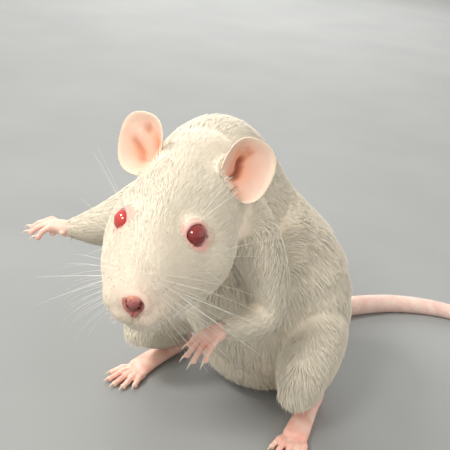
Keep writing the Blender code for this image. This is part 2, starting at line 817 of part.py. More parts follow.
def along(arm, share):
    """A point of an arm's middle line and the way it runs there."""
    rows = smooth_rows([s[:3] for s in arm], 10)
    i = round(share * (len(rows) - 1))
    return rows[i], rows[min(i + 1, len(rows) - 1)] - rows[i - 1]


def part_arm(arm_piece, name, arm):
    elbow, elbow_way = along(arm, 0.55)
    wrist, wrist_way = along(arm, 0.96)
    paw_middle = 2 * np.array(arm[-1][:3]) - np.array(arm[-3][:3])
    labels = {
        f"upper_arm_{name}": along(arm, 0.3)[0],
        f"forearm_{name}": along(arm, 0.8)[0],
        f"forepaw_{name}": paw_middle,
    }
    return split(arm_piece, [blade(elbow, elbow_way, 16), blade(wrist, wrist_way, 8)], labels)


def part_leg(leg_piece, name, side):
    cuts = [blade((side * 34, 2, 16), (0, 0.16, 1), 40), blade((side * 31, 0, 7.0), (0, 0.02, 1), 34)]
    labels = {
        f"thigh_{name}": (side * 31, 2, 32),
        f"shank_{name}": (side * 32, 0, 12),
        f"hind_foot_{name}": (side * 33, -14, 2),
    }
    return split(leg_piece, cuts, labels)


def part_trunk(body):
    path = smooth_rows(tail_path(), TAIL_STEPS)
    cuts = [
        blade((6.8, 0, -8), (1, 0, -0.12), 22, HEAD),
        mouth_blade(),
        blade((-34, 2, -5), (1, 0.12, 0.45), 36, HEAD),
        blade((0, -19, 86), (0, 0.86, -0.50), 46),
        blade((0, 3, 68), (0, 0.62, -0.78), 52),
        blade((0, 12, 52.5), (0, 0.22, -0.97), 60),
    ]
    labels = {
        "head": HEAD @ Vector((-10, 0, -4)),
        "muzzle": HEAD @ Vector((15, 0, -8)),
        "lower_jaw": HEAD @ Vector((12, 0, -20)),
        "neck": (0, -27, 92),
        "chest": (0, -8, 80),
        "belly": (0, 8, 60),
        "rump": (0, 15, 25),
    }
    ends = [*TAIL_CUTS, len(path) / TAIL_STEPS]
    for k, cut in enumerate(ends[:-1]):
        i = round(cut * TAIL_STEPS)
        cuts.append(blade(path[i, :3], path[i + 1, :3] - path[i - 1, :3], path[i, 3] + 4))
        half = round((cut + ends[k + 1]) / 2 * TAIL_STEPS)
        labels[f"tail_{k + 1}"] = path[min(half, len(path) - 1), :3]
    return split(body, cuts, labels)


def thin_out(target, share):
    """Fewer triangles of near the same shape, most of all along the cuts."""
    thin = target.modifiers.new("thin", "DECIMATE")
    thin.ratio = share
    apply_modifiers(target)


def tidy(target):
    """Merges near points, drops faces with no area that the Booleans left, and splits all into triangles."""
    bm = bmesh.new()
    bm.from_mesh(target.data)
    bmesh.ops.remove_doubles(bm, verts=bm.verts, dist=0.006 * MM)
    bmesh.ops.dissolve_degenerate(bm, dist=0.004 * MM, edges=bm.edges)
    bmesh.ops.triangulate(bm, faces=bm.faces)
    bm.to_mesh(target.data)
    bm.free()
    keep_largest(target)


def build():
    flesh = head_forms() + [trunk(), tail()]
    flesh += [limb(f"{name}_arm", arm[0], 18) for name, arm in ARMS.items()]
    claws = {}
    sides = {"right": -1, "left": 1}
    for name, side in sides.items():
        flesh += [haunch(side), shank(side)]
        foot, claws[f"hind_foot_{name}"] = hind_foot(side)
        hand, claws[f"forepaw_{name}"] = forepaw(*ARMS[name])
        flesh += foot + hand
    body = weld_whole(flesh)
    pieces = {}
    for name, side in sides.items():
        pieces.update(part_leg(take(body, leg_cell, side), name, side))
        pieces.update(part_arm(take(body, arm_cell, *ARMS[name]), name, ARMS[name][0]))
    pieces.update(part_trunk(body))

    for piece in pieces.values():
        thin_out(piece, CUT_SHARE)
        if points_of(piece)[:, 2].min() < 0.1:
            boolean(piece, [floor_block()], "DIFFERENCE")

    random = np.random.default_rng(SEED)
    for name, side in sides.items():
        pieces[f"ear_{name}"] = ear(side)
    boolean(pieces["head"], [lid_ring(s) for s in (-1, 1)], "UNION")
    room = (EYE_RADIUS + GAP,) * 3
    sockets = [ellipsoid("socket", eye_axes(s)[0], room, 0, HEAD, 20, 12) for s in (-1, 1)]
    hollows = [ear_hollow(s) for s in (-1, 1)]
    boolean(pieces["head"], sockets + hollows, "DIFFERENCE")
    boolean(pieces["muzzle"], [nostril(-1), nostril(1), philtrum()], "DIFFERENCE")
    boolean(pieces["muzzle"], whiskers(-1, random) + whiskers(1, random), "UNION")
    for name, found in claws.items():
        boolean(pieces[name], found, "UNION")
    for name in ("head", "muzzle", "lower_jaw"):
        sway_snout(pieces[name])
    for name, side in sides.items():
        pieces[f"eye_{name}"] = ellipsoid("eye", eye_axes(side)[0], (EYE_RADIUS,) * 3, 0, HEAD, 18, 10)
    return pieces


def finish(pieces):
    """Names, materials, shading and the place of the whole: its middle over the origin, resting on it."""
    coat = material("white_coat", (0.93, 0.90, 0.83), 0.85)
    skin = material("pink_skin", (0.86, 0.62, 0.55), 0.55)
    eye = material("red_eye", (0.35, 0.02, 0.03), 0.08)
    for name, piece in pieces.items():
        tidy(piece)
        piece.name = name
        piece.data.name = name
        piece.data.materials.clear()
        bare = name.startswith(("ear", "forepaw", "hind_foot", "tail"))
        piece.data.materials.append(eye if name.startswith("eye") else skin if bare else coat)
    corners = np.vstack([points_of(p) for p in pieces.values()])
    low, high = corners.min(0), corners.max(0)
    shift = Matrix.Translation((-MM * (low[0] + high[0]) / 2, -MM * (low[1] + high[1]) / 2, -MM * low[2]))
    for piece in pieces.values():
        piece.data.transform(shift)
        piece.data.shade_smooth()


clear_scene()
finish(build())
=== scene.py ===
"""The pet rat's looks: skin, coat, ears, eyes, nose, whiskers, paws and tail, with floor, lights and camera.

Sizes are in millimetres and become metres when a mesh is made. The head has a frame of its own, as in the
solids: x forward, y to its left, z up, from the point between the eyes. The body's frame is the solids' own,
with the body facing -Y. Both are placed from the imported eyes.
"""

import math

import bmesh
import bpy
import numpy as np
from mathutils import Matrix, Vector
from mathutils.kdtree import KDTree


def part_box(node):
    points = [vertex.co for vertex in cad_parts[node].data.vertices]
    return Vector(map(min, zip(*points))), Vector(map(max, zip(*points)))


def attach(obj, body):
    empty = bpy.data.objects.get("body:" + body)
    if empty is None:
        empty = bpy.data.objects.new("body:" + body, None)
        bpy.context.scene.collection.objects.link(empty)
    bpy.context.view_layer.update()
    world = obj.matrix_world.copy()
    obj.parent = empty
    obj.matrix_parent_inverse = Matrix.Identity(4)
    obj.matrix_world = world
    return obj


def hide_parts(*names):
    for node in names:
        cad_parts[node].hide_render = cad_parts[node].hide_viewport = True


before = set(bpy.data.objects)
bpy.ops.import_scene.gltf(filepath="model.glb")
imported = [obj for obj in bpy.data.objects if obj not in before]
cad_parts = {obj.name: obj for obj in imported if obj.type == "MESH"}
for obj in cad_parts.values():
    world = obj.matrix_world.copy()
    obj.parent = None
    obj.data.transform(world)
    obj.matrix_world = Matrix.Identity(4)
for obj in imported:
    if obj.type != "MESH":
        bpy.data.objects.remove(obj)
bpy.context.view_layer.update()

MM = 0.001
SIDES = {"right": -1, "left": 1}
SEED = 11
# The grid that joins the skin's forms, and how many triangles the skin is thinned to
SKIN_VOXEL = 0.45
SKIN_FACES = 172000
# How far above the floor the skin and the coat stay
FLOOR_GAP = 0.04

# The head's turn, nod and place in the body's frame, as in the solids
HEAD_TURN = math.radians(14.5)
HEAD_NOD = math.radians(6.0)
HEAD_PLACE = (4.7, -66.0, 95.0)
# The eyes' level, radius and distance from the head's middle, the way each looks, the half angle that its lids
# leave open, and how much further they open at the front corner
EYE_LEVEL = -0.2
EYE_RADIUS = 3.45
EYE_SPREAD = 9.8
EYE_WAY = (0.60, 0.74, 0.30)
EYE_OPENING = math.radians(78)
EYE_CORNER = 0.2
# The sniffing nose: how far the snout's tip is drawn to the left and down, from where, and over what length
SNOUT_SWAY = (1.3, -0.5)
SNOUT_START = 4.0
SNOUT_LENGTH = 20.0
# Each ear's middle, the reach to its tip and the reach to its outer edge, as on the left side of the head
EARS = {
    1: ((-27.3, 17.5, 7.9), (-5.9, 2.4, 7.8), (-2.9, 6.8, -4.4)),
    -1: ((-26.7, 16.2, 10.4), (-3.9, -0.2, 9.3), (-2.9, 8.1, -1.1)),
}
EAR_DEPTH = 5.2
EAR_THICKNESS = 0.8


def middle_of(node):
    low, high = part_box(node)
    return (low + high) / 2 / MM


EYES_MIDDLE = (middle_of("eye_left") + middle_of("eye_right")) / 2


def head_matrix():
    """Takes a point of the head's frame to the part's frame, both in millimetres."""
    forward = Vector((math.sin(HEAD_TURN), -math.cos(HEAD_TURN), 0)) * math.cos(HEAD_NOD)
    forward.z = -math.sin(HEAD_NOD)
    left = Vector((math.cos(HEAD_TURN), math.sin(HEAD_TURN), 0))
    up = forward.cross(left)
    turn = Matrix((forward, left, up)).transposed().to_4x4()
    return Matrix.Translation(EYES_MIDDLE - up * EYE_LEVEL) @ turn


HEAD = head_matrix()
HEAD_AXES = np.array(HEAD.to_3x3())
HEAD_MIDDLE = np.array(HEAD.translation)
SHIFT = np.array(HEAD.translation - Vector(HEAD_PLACE))


def snout_sway(head):
    """How far each place of the head is drawn across and down with the sniffing nose."""
    share = np.clip((head[:, 0] - SNOUT_START) / SNOUT_LENGTH, 0, None) ** 2
    return share[:, None] * np.array(SNOUT_SWAY)


def in_head(points):
    """Points of the part's frame in the head's frame, with the snout's sway taken out."""
    head = (np.atleast_2d(points) - HEAD_MIDDLE) @ HEAD_AXES
    head[:, 1:] -= snout_sway(head)
    return head


def from_head(points):
    """Points of the head's frame in the part's frame, with the snout's sway put in."""
    head = np.array(np.atleast_2d(points), float)
    head[:, 1:] += snout_sway(head)
    return head @ HEAD_AXES.T + HEAD_MIDDLE


def placed(points):
    """Points of the body's frame in the part's frame."""
    return np.asarray(points, float) + SHIFT


# Tools for meshes


def unit(vectors):
    return vectors / np.maximum(np.linalg.norm(vectors, axis=1), 1e-9)[:, None]


def turns(count):
    """The angles of so many even steps round a circle."""
    return 2 * np.pi * np.arange(count) / count


def on_circle(*degrees):
    return [(math.cos(a), math.sin(a)) for a in np.radians(degrees)]


def square_to(along, across):
    """The two ways square to a way, the first of them drawn from across."""
    wide = np.asarray(across, float) - np.dot(across, along) * along
    wide /= np.linalg.norm(wide)
    return wide, np.cross(along, wide)


def select(*pieces):
    """Selects these pieces alone, the first as the active one."""
    for found in bpy.context.selected_objects:
        found.select_set(False)
    for piece in pieces:
        piece.select_set(True)
        bpy.context.view_layer.objects.active = pieces[0]


def link(name, mesh):
    made = bpy.data.objects.new(name, mesh)
    bpy.context.scene.collection.objects.link(made)
    return made


def rows_of(items, kind, width, number=float):
    """One row of values for each of a mesh's items."""
    found = np.empty(len(items) * width, number)
    items.foreach_get(kind, found)
    return found.reshape(-1, width)


def points_of(piece):
    return rows_of(piece.data.vertices, "co", 3) / MM


def normals_of(piece):
    return rows_of(piece.data.vertices, "normal", 3)


def neighbours(piece):
    return rows_of(piece.data.edges, "vertices", 2, int)


def move_points(piece, points):
    piece.data.vertices.foreach_set("co", (points * MM).ravel())
    piece.data.update()


def tree_of(points):
    tree = KDTree(len(points))
    for k, place in enumerate(points):
        tree.insert(place, k)
    tree.balance()
    return tree


def modify(piece, kind, **settings):
    """Adds a modifier with these settings and applies it."""
    select(piece)
    added = piece.modifiers.new(kind, kind)
    for name, value in settings.items():
        setattr(added, name, value)
    bpy.ops.object.modifier_apply(modifier=added.name)


def edit_all(operator, **settings):
    """Runs an operator on all of the active piece's mesh."""
    bpy.ops.object.mode_set(mode="EDIT")
    bpy.ops.mesh.select_all(action="SELECT")
    operator(**settings)
    bpy.ops.object.mode_set(mode="OBJECT")


def face_out(mesh):
    """Turns the faces of a closed mesh outwards."""
    bm = bmesh.new()
    bm.from_mesh(mesh)
    bmesh.ops.recalc_face_normals(bm, faces=bm.faces)
    bm.to_mesh(mesh)
    bm.free()


def mesh_piece(name, points, faces):
    """A piece from points in millimetres, with its faces pointing out."""
    mesh = bpy.data.meshes.new(name)
    mesh.from_pydata((np.asarray(points, float) * MM).tolist(), [], faces)
    face_out(mesh)
    mesh.shade_smooth()
    return link(name, mesh)


def smooth_rows(rows, steps):
    """Rows of numbers resampled on one smooth curve, with so many steps between neighbours."""
    rows = np.asarray(rows, float)
    ends = np.vstack([2 * rows[0] - rows[1], rows, 2 * rows[-1] - rows[-2]])
    found = []
    for i in range(len(rows) - 1):
        a, b, c, d = ends[i : i + 4]
        for t in np.arange(steps) / steps:
            bend = (2 * a - 5 * b + 4 * c - d) * t**2 + (3 * b - a - 3 * c + d) * t**3
            found.append(0.5 * (2 * b + (c - a) * t + bend))
    found.append(rows[-1])
    return np.array(found)


def skin_rings(name, rings, start=None, end=None):
    """A closed tube over rings of points, with a pole at each end: the given one or the middle of its ring."""
    rings = [np.asarray(r, float) for r in rings]
    n = len(rings[0])
    start = rings[0].mean(0) if start is None else start
    end = rings[-1].mean(0) if end is None else end
    points = np.vstack([start, *rings, end])
    last = 1 + (len(rings) - 1) * n
    faces = []
    for i in range(n):
        j = (i + 1) % n
        faces += [(0, 1 + j, 1 + i), (last + i, last + j, len(points) - 1)]
        for a in range(1, last, n):
            faces.append((a + i, a + j, a + n + j, a + n + i))
    return mesh_piece(name, points, faces)


def limb(name, stations, sides=24, steps=6, across=(1, 0, 0), on_head=False):
    """A tube with domed ends round (x, y, z, half width, half depth) stations, in either frame."""
    rows = smooth_rows(stations, steps)
    ways = unit(np.gradient(rows[:, :3], axis=0))
    turn = turns(sides)

    def ring(k, push=0.0, size=1.0):
        (x, y, z, half, depth), (wide, deep) = rows[k], square_to(ways[k], across)
        middle = np.array((x, y, z)) + ways[k] * push * min(half, depth)
        return middle + size * (np.outer(np.cos(turn), wide) * half + np.outer(np.sin(turn), deep) * depth)

    dome = on_circle(15, 35, 55, 72, 84)
    rings = [ring(0, -push, size) for size, push in reversed(dome)]
    rings += [ring(k) for k in range(len(rows))]
    rings += [ring(-1, push, size) for size, push in dome]
    return skin_rings(name, [from_head(r) for r in rings] if on_head else rings)


def egg(name, centre, radii, tilt=0.0, on_head=True, segments=48, rings=32):
    """A ball drawn out to the given half sizes and tilted about its side to side axis, in either frame."""
    select()
    bpy.ops.mesh.primitive_uv_sphere_add(segments=segments, ring_count=rings, radius=MM)
    made = bpy.context.active_object
    made.name = name
    made.data.transform(Matrix.Rotation(tilt, 4, "Y") @ Matrix.Diagonal((*radii, 1)))
    points = points_of(made) + np.array(centre)
    move_points(made, from_head(points) if on_head else points)
    made.data.shade_smooth()
    return made


def small_egg(name, centre, radii, on_head=False):
    return egg(name, centre, radii, 0, on_head, 24, 16)


def join(name, pieces):
    select(*pieces)
    bpy.ops.object.join()
    made = bpy.context.active_object
    made.name = name
    return made


def remesh(piece, voxel):
    modify(piece, "REMESH", mode="VOXEL", voxel_size=voxel * MM)


def cut_away(piece, cutter):
    """Takes a closed cutter's space out of a closed piece."""
    modify(piece, "BOOLEAN", operation="DIFFERENCE", object=cutter, solver="MANIFOLD")
    bpy.data.objects.remove(cutter)


def spread(values, edges, rounds):
    """Values of the vertices, each drawn to the mean of its neighbours."""
    values = np.array(values, float)
    flat = values.reshape(len(values), -1)
    count = np.bincount(edges.ravel(), minlength=len(values))[:, None]
    for _ in range(rounds):
        total = np.zeros_like(flat)
        for column in range(flat.shape[1]):
            total[:, column] = np.bincount(edges[:, 0], flat[edges[:, 1], column], len(values))
            total[:, column] += np.bincount(edges[:, 1], flat[edges[:, 0], column], len(values))
        flat = 0.5 * flat + 0.5 * total / np.maximum(count, 1)
    return flat.reshape(values.shape)


def ramp(value, low, high):
    share = np.clip((value - low) / (high - low), 0, 1)
    return share * share * (3 - 2 * share)


# The skin's main form


def head_loft():
    """The head's main form, from sections along its length."""
    # x, half width, top, bottom, level of the widest part, roundness of the upper and of the lower half
    sections = [
        (23.4, 3.9, -5.4, -15.4, -10.6, 2.0, 2.1),
        (21.6, 6.9, -3.4, -18.0, -11.4, 2.0, 2.2),
        (18.6, 9.4, -1.2, -19.6, -11.9, 2.0, 2.4),
        (15.0, 11.3, 1.0, -20.6, -12.0, 1.9, 2.5),
        (10.0, 13.4, 3.8, -22.2, -12.0, 1.7, 2.6),
        (5.0, 15.6, 6.3, -23.6, -12.0, 1.5, 2.5),
        (0.0, 17.4, 8.6, -24.6, -12.0, 1.36, 2.4),
        (-5.0, 19.1, 10.4, -25.2, -11.6, 1.55, 2.3),
        (-10.0, 19.6, 11.9, -25.2, -10.8, 1.68, 2.2),
        (-16.0, 19.1, 13.2, -24.9, -10.2, 1.68, 2.1),
        (-22.0, 18.0, 14.0, -24.4, -9.4, 1.65, 2.0),
        (-30.0, 17.6, 14.2, -23.4, -7.6, 1.8, 2.0),
        (-38.0, 17.0, 13.0, -21.0, -5.0, 2.0, 2.0),
    ]
    turn = turns(96)
    rings = []
    for x, wide, top, bottom, level, above, below in smooth_rows(sections, 6):
        share = np.where(np.sin(turn) > 0, 2 / above, 2 / below)
        across = np.sign(np.cos(turn)) * np.abs(np.cos(turn)) ** share * wide
        up = np.abs(np.sin(turn)) ** share * np.where(np.sin(turn) > 0, top - level, bottom - level)
        rings.append(from_head(np.stack([np.full_like(turn, x), across, level + up], 1)))
    return skin_rings("head_loft", rings)


def eye_axes(side):
    """An eye's middle in the head's frame, the way it looks, the way to its front corner, and the way up."""
    middle = Vector((0, side * EYE_SPREAD, EYE_LEVEL))
    out = Vector((EYE_WAY[0], side * EYE_WAY[1], EYE_WAY[2])).normalized()
    ahead = Vector((1, 0, -0.45))
    ahead = (ahead - ahead.dot(out) * out).normalized()
    return middle, out, ahead, out.cross(ahead) * side


def lid_ring(name, side, thick, lift, opening, around=96, sides=16):
    """A rim close round the eyeball, thicker below and drawn out to a corner towards the nose."""
    middle, out, ahead, above = eye_axes(side)
    points, faces = [], []
    for angle in turns(around):
        corner = max(0.0, math.cos(angle)) ** 6
        wide = opening * (1 + EYE_CORNER * corner)
        radial = ahead * math.cos(angle) + above * math.sin(angle)
        way = out * math.cos(wide) + radial * math.sin(wide)
        slope = radial * math.cos(wide) - out * math.sin(wide)
        heart = middle + way * (EYE_RADIUS + lift)
        body = thick * (1 + 0.3 * max(0.0, -math.sin(angle)))
        for b in turns(sides):
            points.append(heart + (way * math.cos(b) + slope * 1.25 * math.sin(b)) * body)
    for k in range(around):
        for i in range(sides):
            a, b = k * sides, (k + 1) % around * sides
            faces.append((a + i, a + (i + 1) % sides, b + (i + 1) % sides, b + i))
    return mesh_piece(name, from_head(points), faces)


def head_forms():
    """The loft and the forms that lie over it: nose bridge, whisker pads, lips, lower jaw and lids."""
    jaw = [
        (0, 0, -17.6, 9.5, 6.6),
        (8, 0, -18.2, 8.0, 5.8),
        (14, 0, -18.7, 6.4, 4.4),
        (17.6, 0, -18.6, 4.6, 3.2),
    ]
    forms = [
        head_loft(),
        limb("jaw_form", jaw, sides=36, across=(0, 1, 0), on_head=True),
        egg("nose_bridge", (13.5, 0, -4.4), (11.0, 5.6, 5.6), math.radians(23)),
    ]
    for side in SIDES.values():
        forms.append(egg("whisker_pad", (16.2, side * 5.0, -12.4), (6.6, 5.4, 6.0)))
        forms.append(egg("upper_lip", (20.2, side * 3.1, -14.2), (3.6, 4.1, 3.9)))
        middle, out = eye_axes(side)[:2]
        forms.append(egg("eye_mound", middle - out * 1.7, (EYE_RADIUS + 0.95,) * 3))
        forms.append(lid_ring("lid_form", side, 0.6, 0.25, EYE_OPENING))
    return forms


# Folds of each ear's inner face: how far each stands out in millimetres, its half width, and its run across and
# up the plane of the rim, both in shares of the reach to the rim
EAR_FOLDS = {
    1: (
        (-1.5, 0.11, ((-0.12, 0.44), (0.10, 0.26), (0.17, 0.05), (-0.04, -0.06))),
        (1.0, 0.20, ((-0.46, 0.22), (-0.40, -0.02), (-0.22, -0.16))),
        (-0.5, 0.07, ((0.20, -0.26), (0.28, -0.42))),
        (-0.5, 0.10, ((-0.20, 0.70), (0.04, 0.66), (0.0, 0.50))),
        (0.35, 0.16, ((0.34, 0.50), (0.44, 0.16), (0.42, -0.20))),
    ),
    -1: (
        (-0.8, 0.14, ((0.58, 0.14), (0.40, -0.06), (0.30, -0.24))),
        (0.7, 0.13, ((0.36, 0.42), (0.22, 0.20), (0.06, -0.02))),
        (-0.5, 0.12, ((-0.06, 0.68), (0.16, 0.58))),
        (-0.4, 0.12, ((-0.30, 0.36), (-0.16, 0.10))),
    ),
}


def from_line(places, line):
    """How far each place lies from a bent line, all in the same plane."""
    line = np.array(line)
    found = np.full(len(places), 9.0)
    for a, b in zip(line, line[1:]):
        share = np.clip(((places - a) @ (b - a)) / ((b - a) @ (b - a)), 0, 1)
        found = np.minimum(found, np.linalg.norm(places - a - share[:, None] * (b - a), axis=1))
    return found


def merged_copy(names, swell):
    """One object from copies of CAD nodes, their doubles merged, swollen to close the gaps between them."""
    made = join("copies", [link("copy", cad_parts[name].data.copy()) for name in names])
    edit_all(bpy.ops.mesh.remove_doubles, threshold=1e-6)
    modify(made, "DISPLACE", mid_level=0, strength=swell * MM)
    made.data.materials.clear()
    return made


def ear_point(side, share, angle, lift):
    """A point of an ear's cup: share from bottom to rim, angle from its tip outwards, lift out of its face."""
    middle, up, out = (Vector(v) for v in EARS[side])
    face = out.cross(up).normalized()
    low = up * -0.42 + out * -0.30
    rim = up * math.cos(angle) + out * math.sin(angle)
    rim *= 1 - 0.07 * math.cos(2 * angle) ** 2
    sink = EAR_DEPTH * (1 - share**1.7)
    place = middle + low * (1 - share) + rim * share - face * sink
    place += face * lift * (1 - 0.35 * share**4)
    place.y *= side
    return HEAD @ place


def ear_hollow(side):
    """The mouth of one ear's cup, taken out of the head down to the ear's own wall."""
    steps, turn = 10, turns(48)
    sink = -EAR_THICKNESS * 0.5
    rings = []
    for k in range(1, steps + 1):
        lifts = sink + np.minimum(0, ear_fold(side, np.full(len(turn), k / steps), turn))
        rings.append([ear_point(side, k / steps, a, lift) for a, lift in zip(turn, lifts)])
    rings.append([ear_point(side, 1.0, a, 2.2) for a in turn])
    rings.append([ear_point(side, 0.6, a, EAR_DEPTH * 0.42 + 2.4) for a in turn])
    start = ear_point(side, 0, 0, sink + min(0, ear_fold(side, 0, 0)[0]))
    return skin_rings("ear_hollow", rings, start, ear_point(side, 0, 0, EAR_DEPTH + 2.4))


TRUNK_NODES = ("neck", "chest", "belly", "rump")
LIMB_NODES = tuple(f"{part}_{side}" for part in ("upper_arm", "forearm", "thigh", "shank") for side in SIDES)
# How far the CAD nodes are swollen to close the gaps between them
SWELL = 0.25
SKIN_SMOOTHING = 16


def skin_form():
    """The whole body under the coat as one closed surface, from the CAD nodes and the head's finer forms."""
    body = merged_copy(TRUNK_NODES + LIMB_NODES, SWELL)
    throat = merged_copy(("head",), -0.6)
    body = join("skin", [body, throat] + head_forms())
    remesh(body, SKIN_VOXEL)
    for side in SIDES.values():
        cut_away(body, ear_hollow(side))
        cut_away(body, egg("ball", eye_axes(side)[0], (EYE_RADIUS + 0.02,) * 3))
    remesh(body, SKIN_VOXEL)
    return body


def soften(piece, share, rounds):
    """Smooths a surface, each vertex by its own share."""
    edges = neighbours(piece)
    points = points_of(piece)
    for _ in range(rounds):
        points += (spread(points, edges, 1) - points) * share[:, None]
    move_points(piece, points)


MOUTH_CORNER = 9.0


def mouth_level(x, y):
    """The height of the line of the mouth in the head's frame."""
    return -17.2 - 0.04 * (22 - x) + 0.012 * y * y


def carve_face(piece):
    """The line of the mouth, the split below the nose and the soft creases round the lips."""
    points = points_of(piece)
    x, y, z = in_head(points).T
    inward = -normals_of(piece)
    front = ramp(x, MOUTH_CORNER, MOUTH_CORNER + 3)
    line = np.exp(-(((z - mouth_level(x, y)) / 0.42) ** 2)) * front * (z < -10)
    depth = 0.9 * line
    split = np.exp(-((y / 0.45) ** 2)) * ramp(x, 22.0, 23.5) * ramp(-z, 10.5, 12.0) * (z > -18)
    depth += 0.8 * split
    move_points(piece, points + inward * depth[:, None])


# Length, width, rise in degrees, depth under the coat's outside, cover and pinkness of each part's tufts
COAT = {
    "neck": (5.4, 0.26, 12, 1.05, 2.75, 0.0),
    "chest": (6.0, 0.29, 12, 1.20, 2.75, 0.0),
    "belly": (6.0, 0.30, 12, 1.20, 2.75, 0.0),
    "rump": (6.4, 0.31, 12, 1.30, 2.75, 0.0),
    "upper_arm": (4.6, 0.24, 12, 0.85, 2.75, 0.0),
    "forearm": (3.3, 0.19, 13, 0.55, 2.75, 0.03),
    "forepaw": (1.6, 0.16, 14, 0.20, 2.0, 0.60),
    "thigh": (5.4, 0.28, 12, 1.05, 2.75, 0.0),
    "shank": (3.7, 0.22, 13, 0.65, 2.75, 0.04),
    "hind_foot": (1.6, 0.16, 14, 0.20, 2.0, 0.60),
    "tail": (2.0, 0.20, 14, 0.20, 2.0, 0.60),
}
# The same values along the head, each row led by its place from the eyes forward
HEAD_COAT = (
    (-36, 5.0, 0.25, 9, 1.00, 2.75, 0.0),
    (-24, 4.4, 0.23, 9, 0.85, 2.75, 0.0),
    (-10, 3.7, 0.19, 13, 0.65, 2.8, 0.0),
    (3, 2.8, 0.20, 15, 0.48, 2.8, 0.01),
    (12, 2.5, 0.17, 17, 0.34, 2.8, 0.05),
    (19, 1.7, 0.14, 18, 0.22, 2.7, 0.12),
    (26, 1.1, 0.115, 20, 0.12, 2.6, 0.25),
)

HEAD_KINDS = ("muzzle", "lower_jaw", "head", "ear", "eye")
KINDS = (*COAT, *HEAD_KINDS)
LENGTH, WIDTH, RISE, DEPTH, COVER, PINK = range(6)


def kind_of(node):
    return next(k for k in sorted(KINDS, key=len, reverse=True) if node.startswith(k))


NODE_NAMES = sorted(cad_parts)
# The muzzle's points further aside belong to its whiskers
MUZZLE_HALF = 12.5
NOSE_MIDDLE = (23.4, 0.3, -8.8)


def nearest_nodes(points):
    """For each point, the index in NODE_NAMES of the CAD node that it lies nearest to."""
    owners, places = [], []
    for i, name in enumerate(NODE_NAMES):
        node = points_of(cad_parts[name])
        if name == "muzzle":
            node = node[np.abs(in_head(node)[:, 1]) < MUZZLE_HALF]
        places.append(node)
        owners += [i] * len(node)
    tree = tree_of(np.vstack(places))
    return np.array([owners[tree.find(p)[1]] for p in points])


def on_head(owners):
    """Which points belong to the head's own nodes."""
    return np.array([kind_of(name) in HEAD_KINDS for name in NODE_NAMES])[owners]


def coat_values(points, owners, edges):
    """The coat's values at each point of the skin, run smoothly into each other, and short on the face."""
    values = np.array([COAT.get(kind_of(name), COAT["neck"]) for name in NODE_NAMES], float)[owners]
    head = in_head(points)
    table = np.array(HEAD_COAT)
    along = [np.interp(head[:, 0], table[:, 0], table[:, k]) for k in range(1, 7)]
    mine = on_head(owners)
    values[mine] = np.stack(along, 1)[mine]
    values = spread(values, edges, 60)
    for side in SIDES.values():
        middle, out, _, above = eye_axes(side)
        away = head - np.array(middle)
        near = np.linalg.norm(away, axis=1)
        below = np.clip(-(away @ np.array(above)) / np.maximum(near, 1e-6), 0, 1)
        values[:, LENGTH] *= 1 - 0.4 * (1 - ramp(near, 4.0, 8.0))
        values[:, WIDTH] *= 1 - 0.15 * (1 - ramp(near, 4.0, 8.0))
        gaze = np.degrees(np.arccos(np.clip(away @ np.array(out) / np.maximum(near, 1e-6), -1, 1)))
        close = 1 - ramp(near, 5.2, 6.5)
        values[:, COVER] *= 1 - close * (1 - ramp(gaze - 8 * below, 72, 78))
        values[:, DEPTH] *= ramp(near, 4.3, 6.8)
        values[:, PINK] += close * (1 - ramp(gaze - 14 * below, 74, 83))
    nose = np.linalg.norm(head - np.array(NOSE_MIDDLE), axis=1)
    values[:, LENGTH] *= 0.55 + 0.45 * ramp(nose, 3.2, 8.0)
    values[:, COVER] *= ramp(nose, 3.3, 3.9)
    values[:, DEPTH] *= ramp(nose, 3.0, 5.0)
    values[:, PINK] += 0.4 * (1 - ramp(nose, 3.3, 7.0))
    values[:, PINK] = np.clip(values[:, PINK], 0, 1)
    return values


def skin():
    """The skin that lies under the coat, finely shaped, with its colours left to its material."""
    body = skin_form()
    head = in_head(points_of(body))
    share = np.full(len(head), 1.0)
    share[head[:, 0] > -30] = 0.8
    share[head[:, 0] > 17] = 0.5
    for side in SIDES.values():
        near = np.linalg.norm(head - np.array(eye_axes(side)[0]), axis=1)
        share[near < 6.0] = 0.25
    soften(body, share, SKIN_SMOOTHING)
    carve_face(body)
    modify(body, "DECIMATE", ratio=SKIN_FACES / (2 * len(body.data.polygons)))
    points = points_of(body)
    edges = neighbours(body)
    owners = nearest_nodes(points)
    values = coat_values(points, owners, edges)
    depth = values[:, DEPTH] + SWELL * ramp(-in_head(points)[:, 0], -4, 26)
    clear = ear_clearance(points)
    depth *= ramp(clear, 0.6, 3.2)
    normals = spread(normals_of(body), edges, 3)
    points = points - normals * depth[:, None]
    points[:, 2] = np.maximum(points[:, 2], FLOOR_GAP)
    move_points(body, points)
    body.data.shade_smooth()
    select(body)
    edit_all(bpy.ops.uv.smart_project, angle_limit=math.radians(66), island_margin=0.002)
    return body, owners, values, clear


# The coat


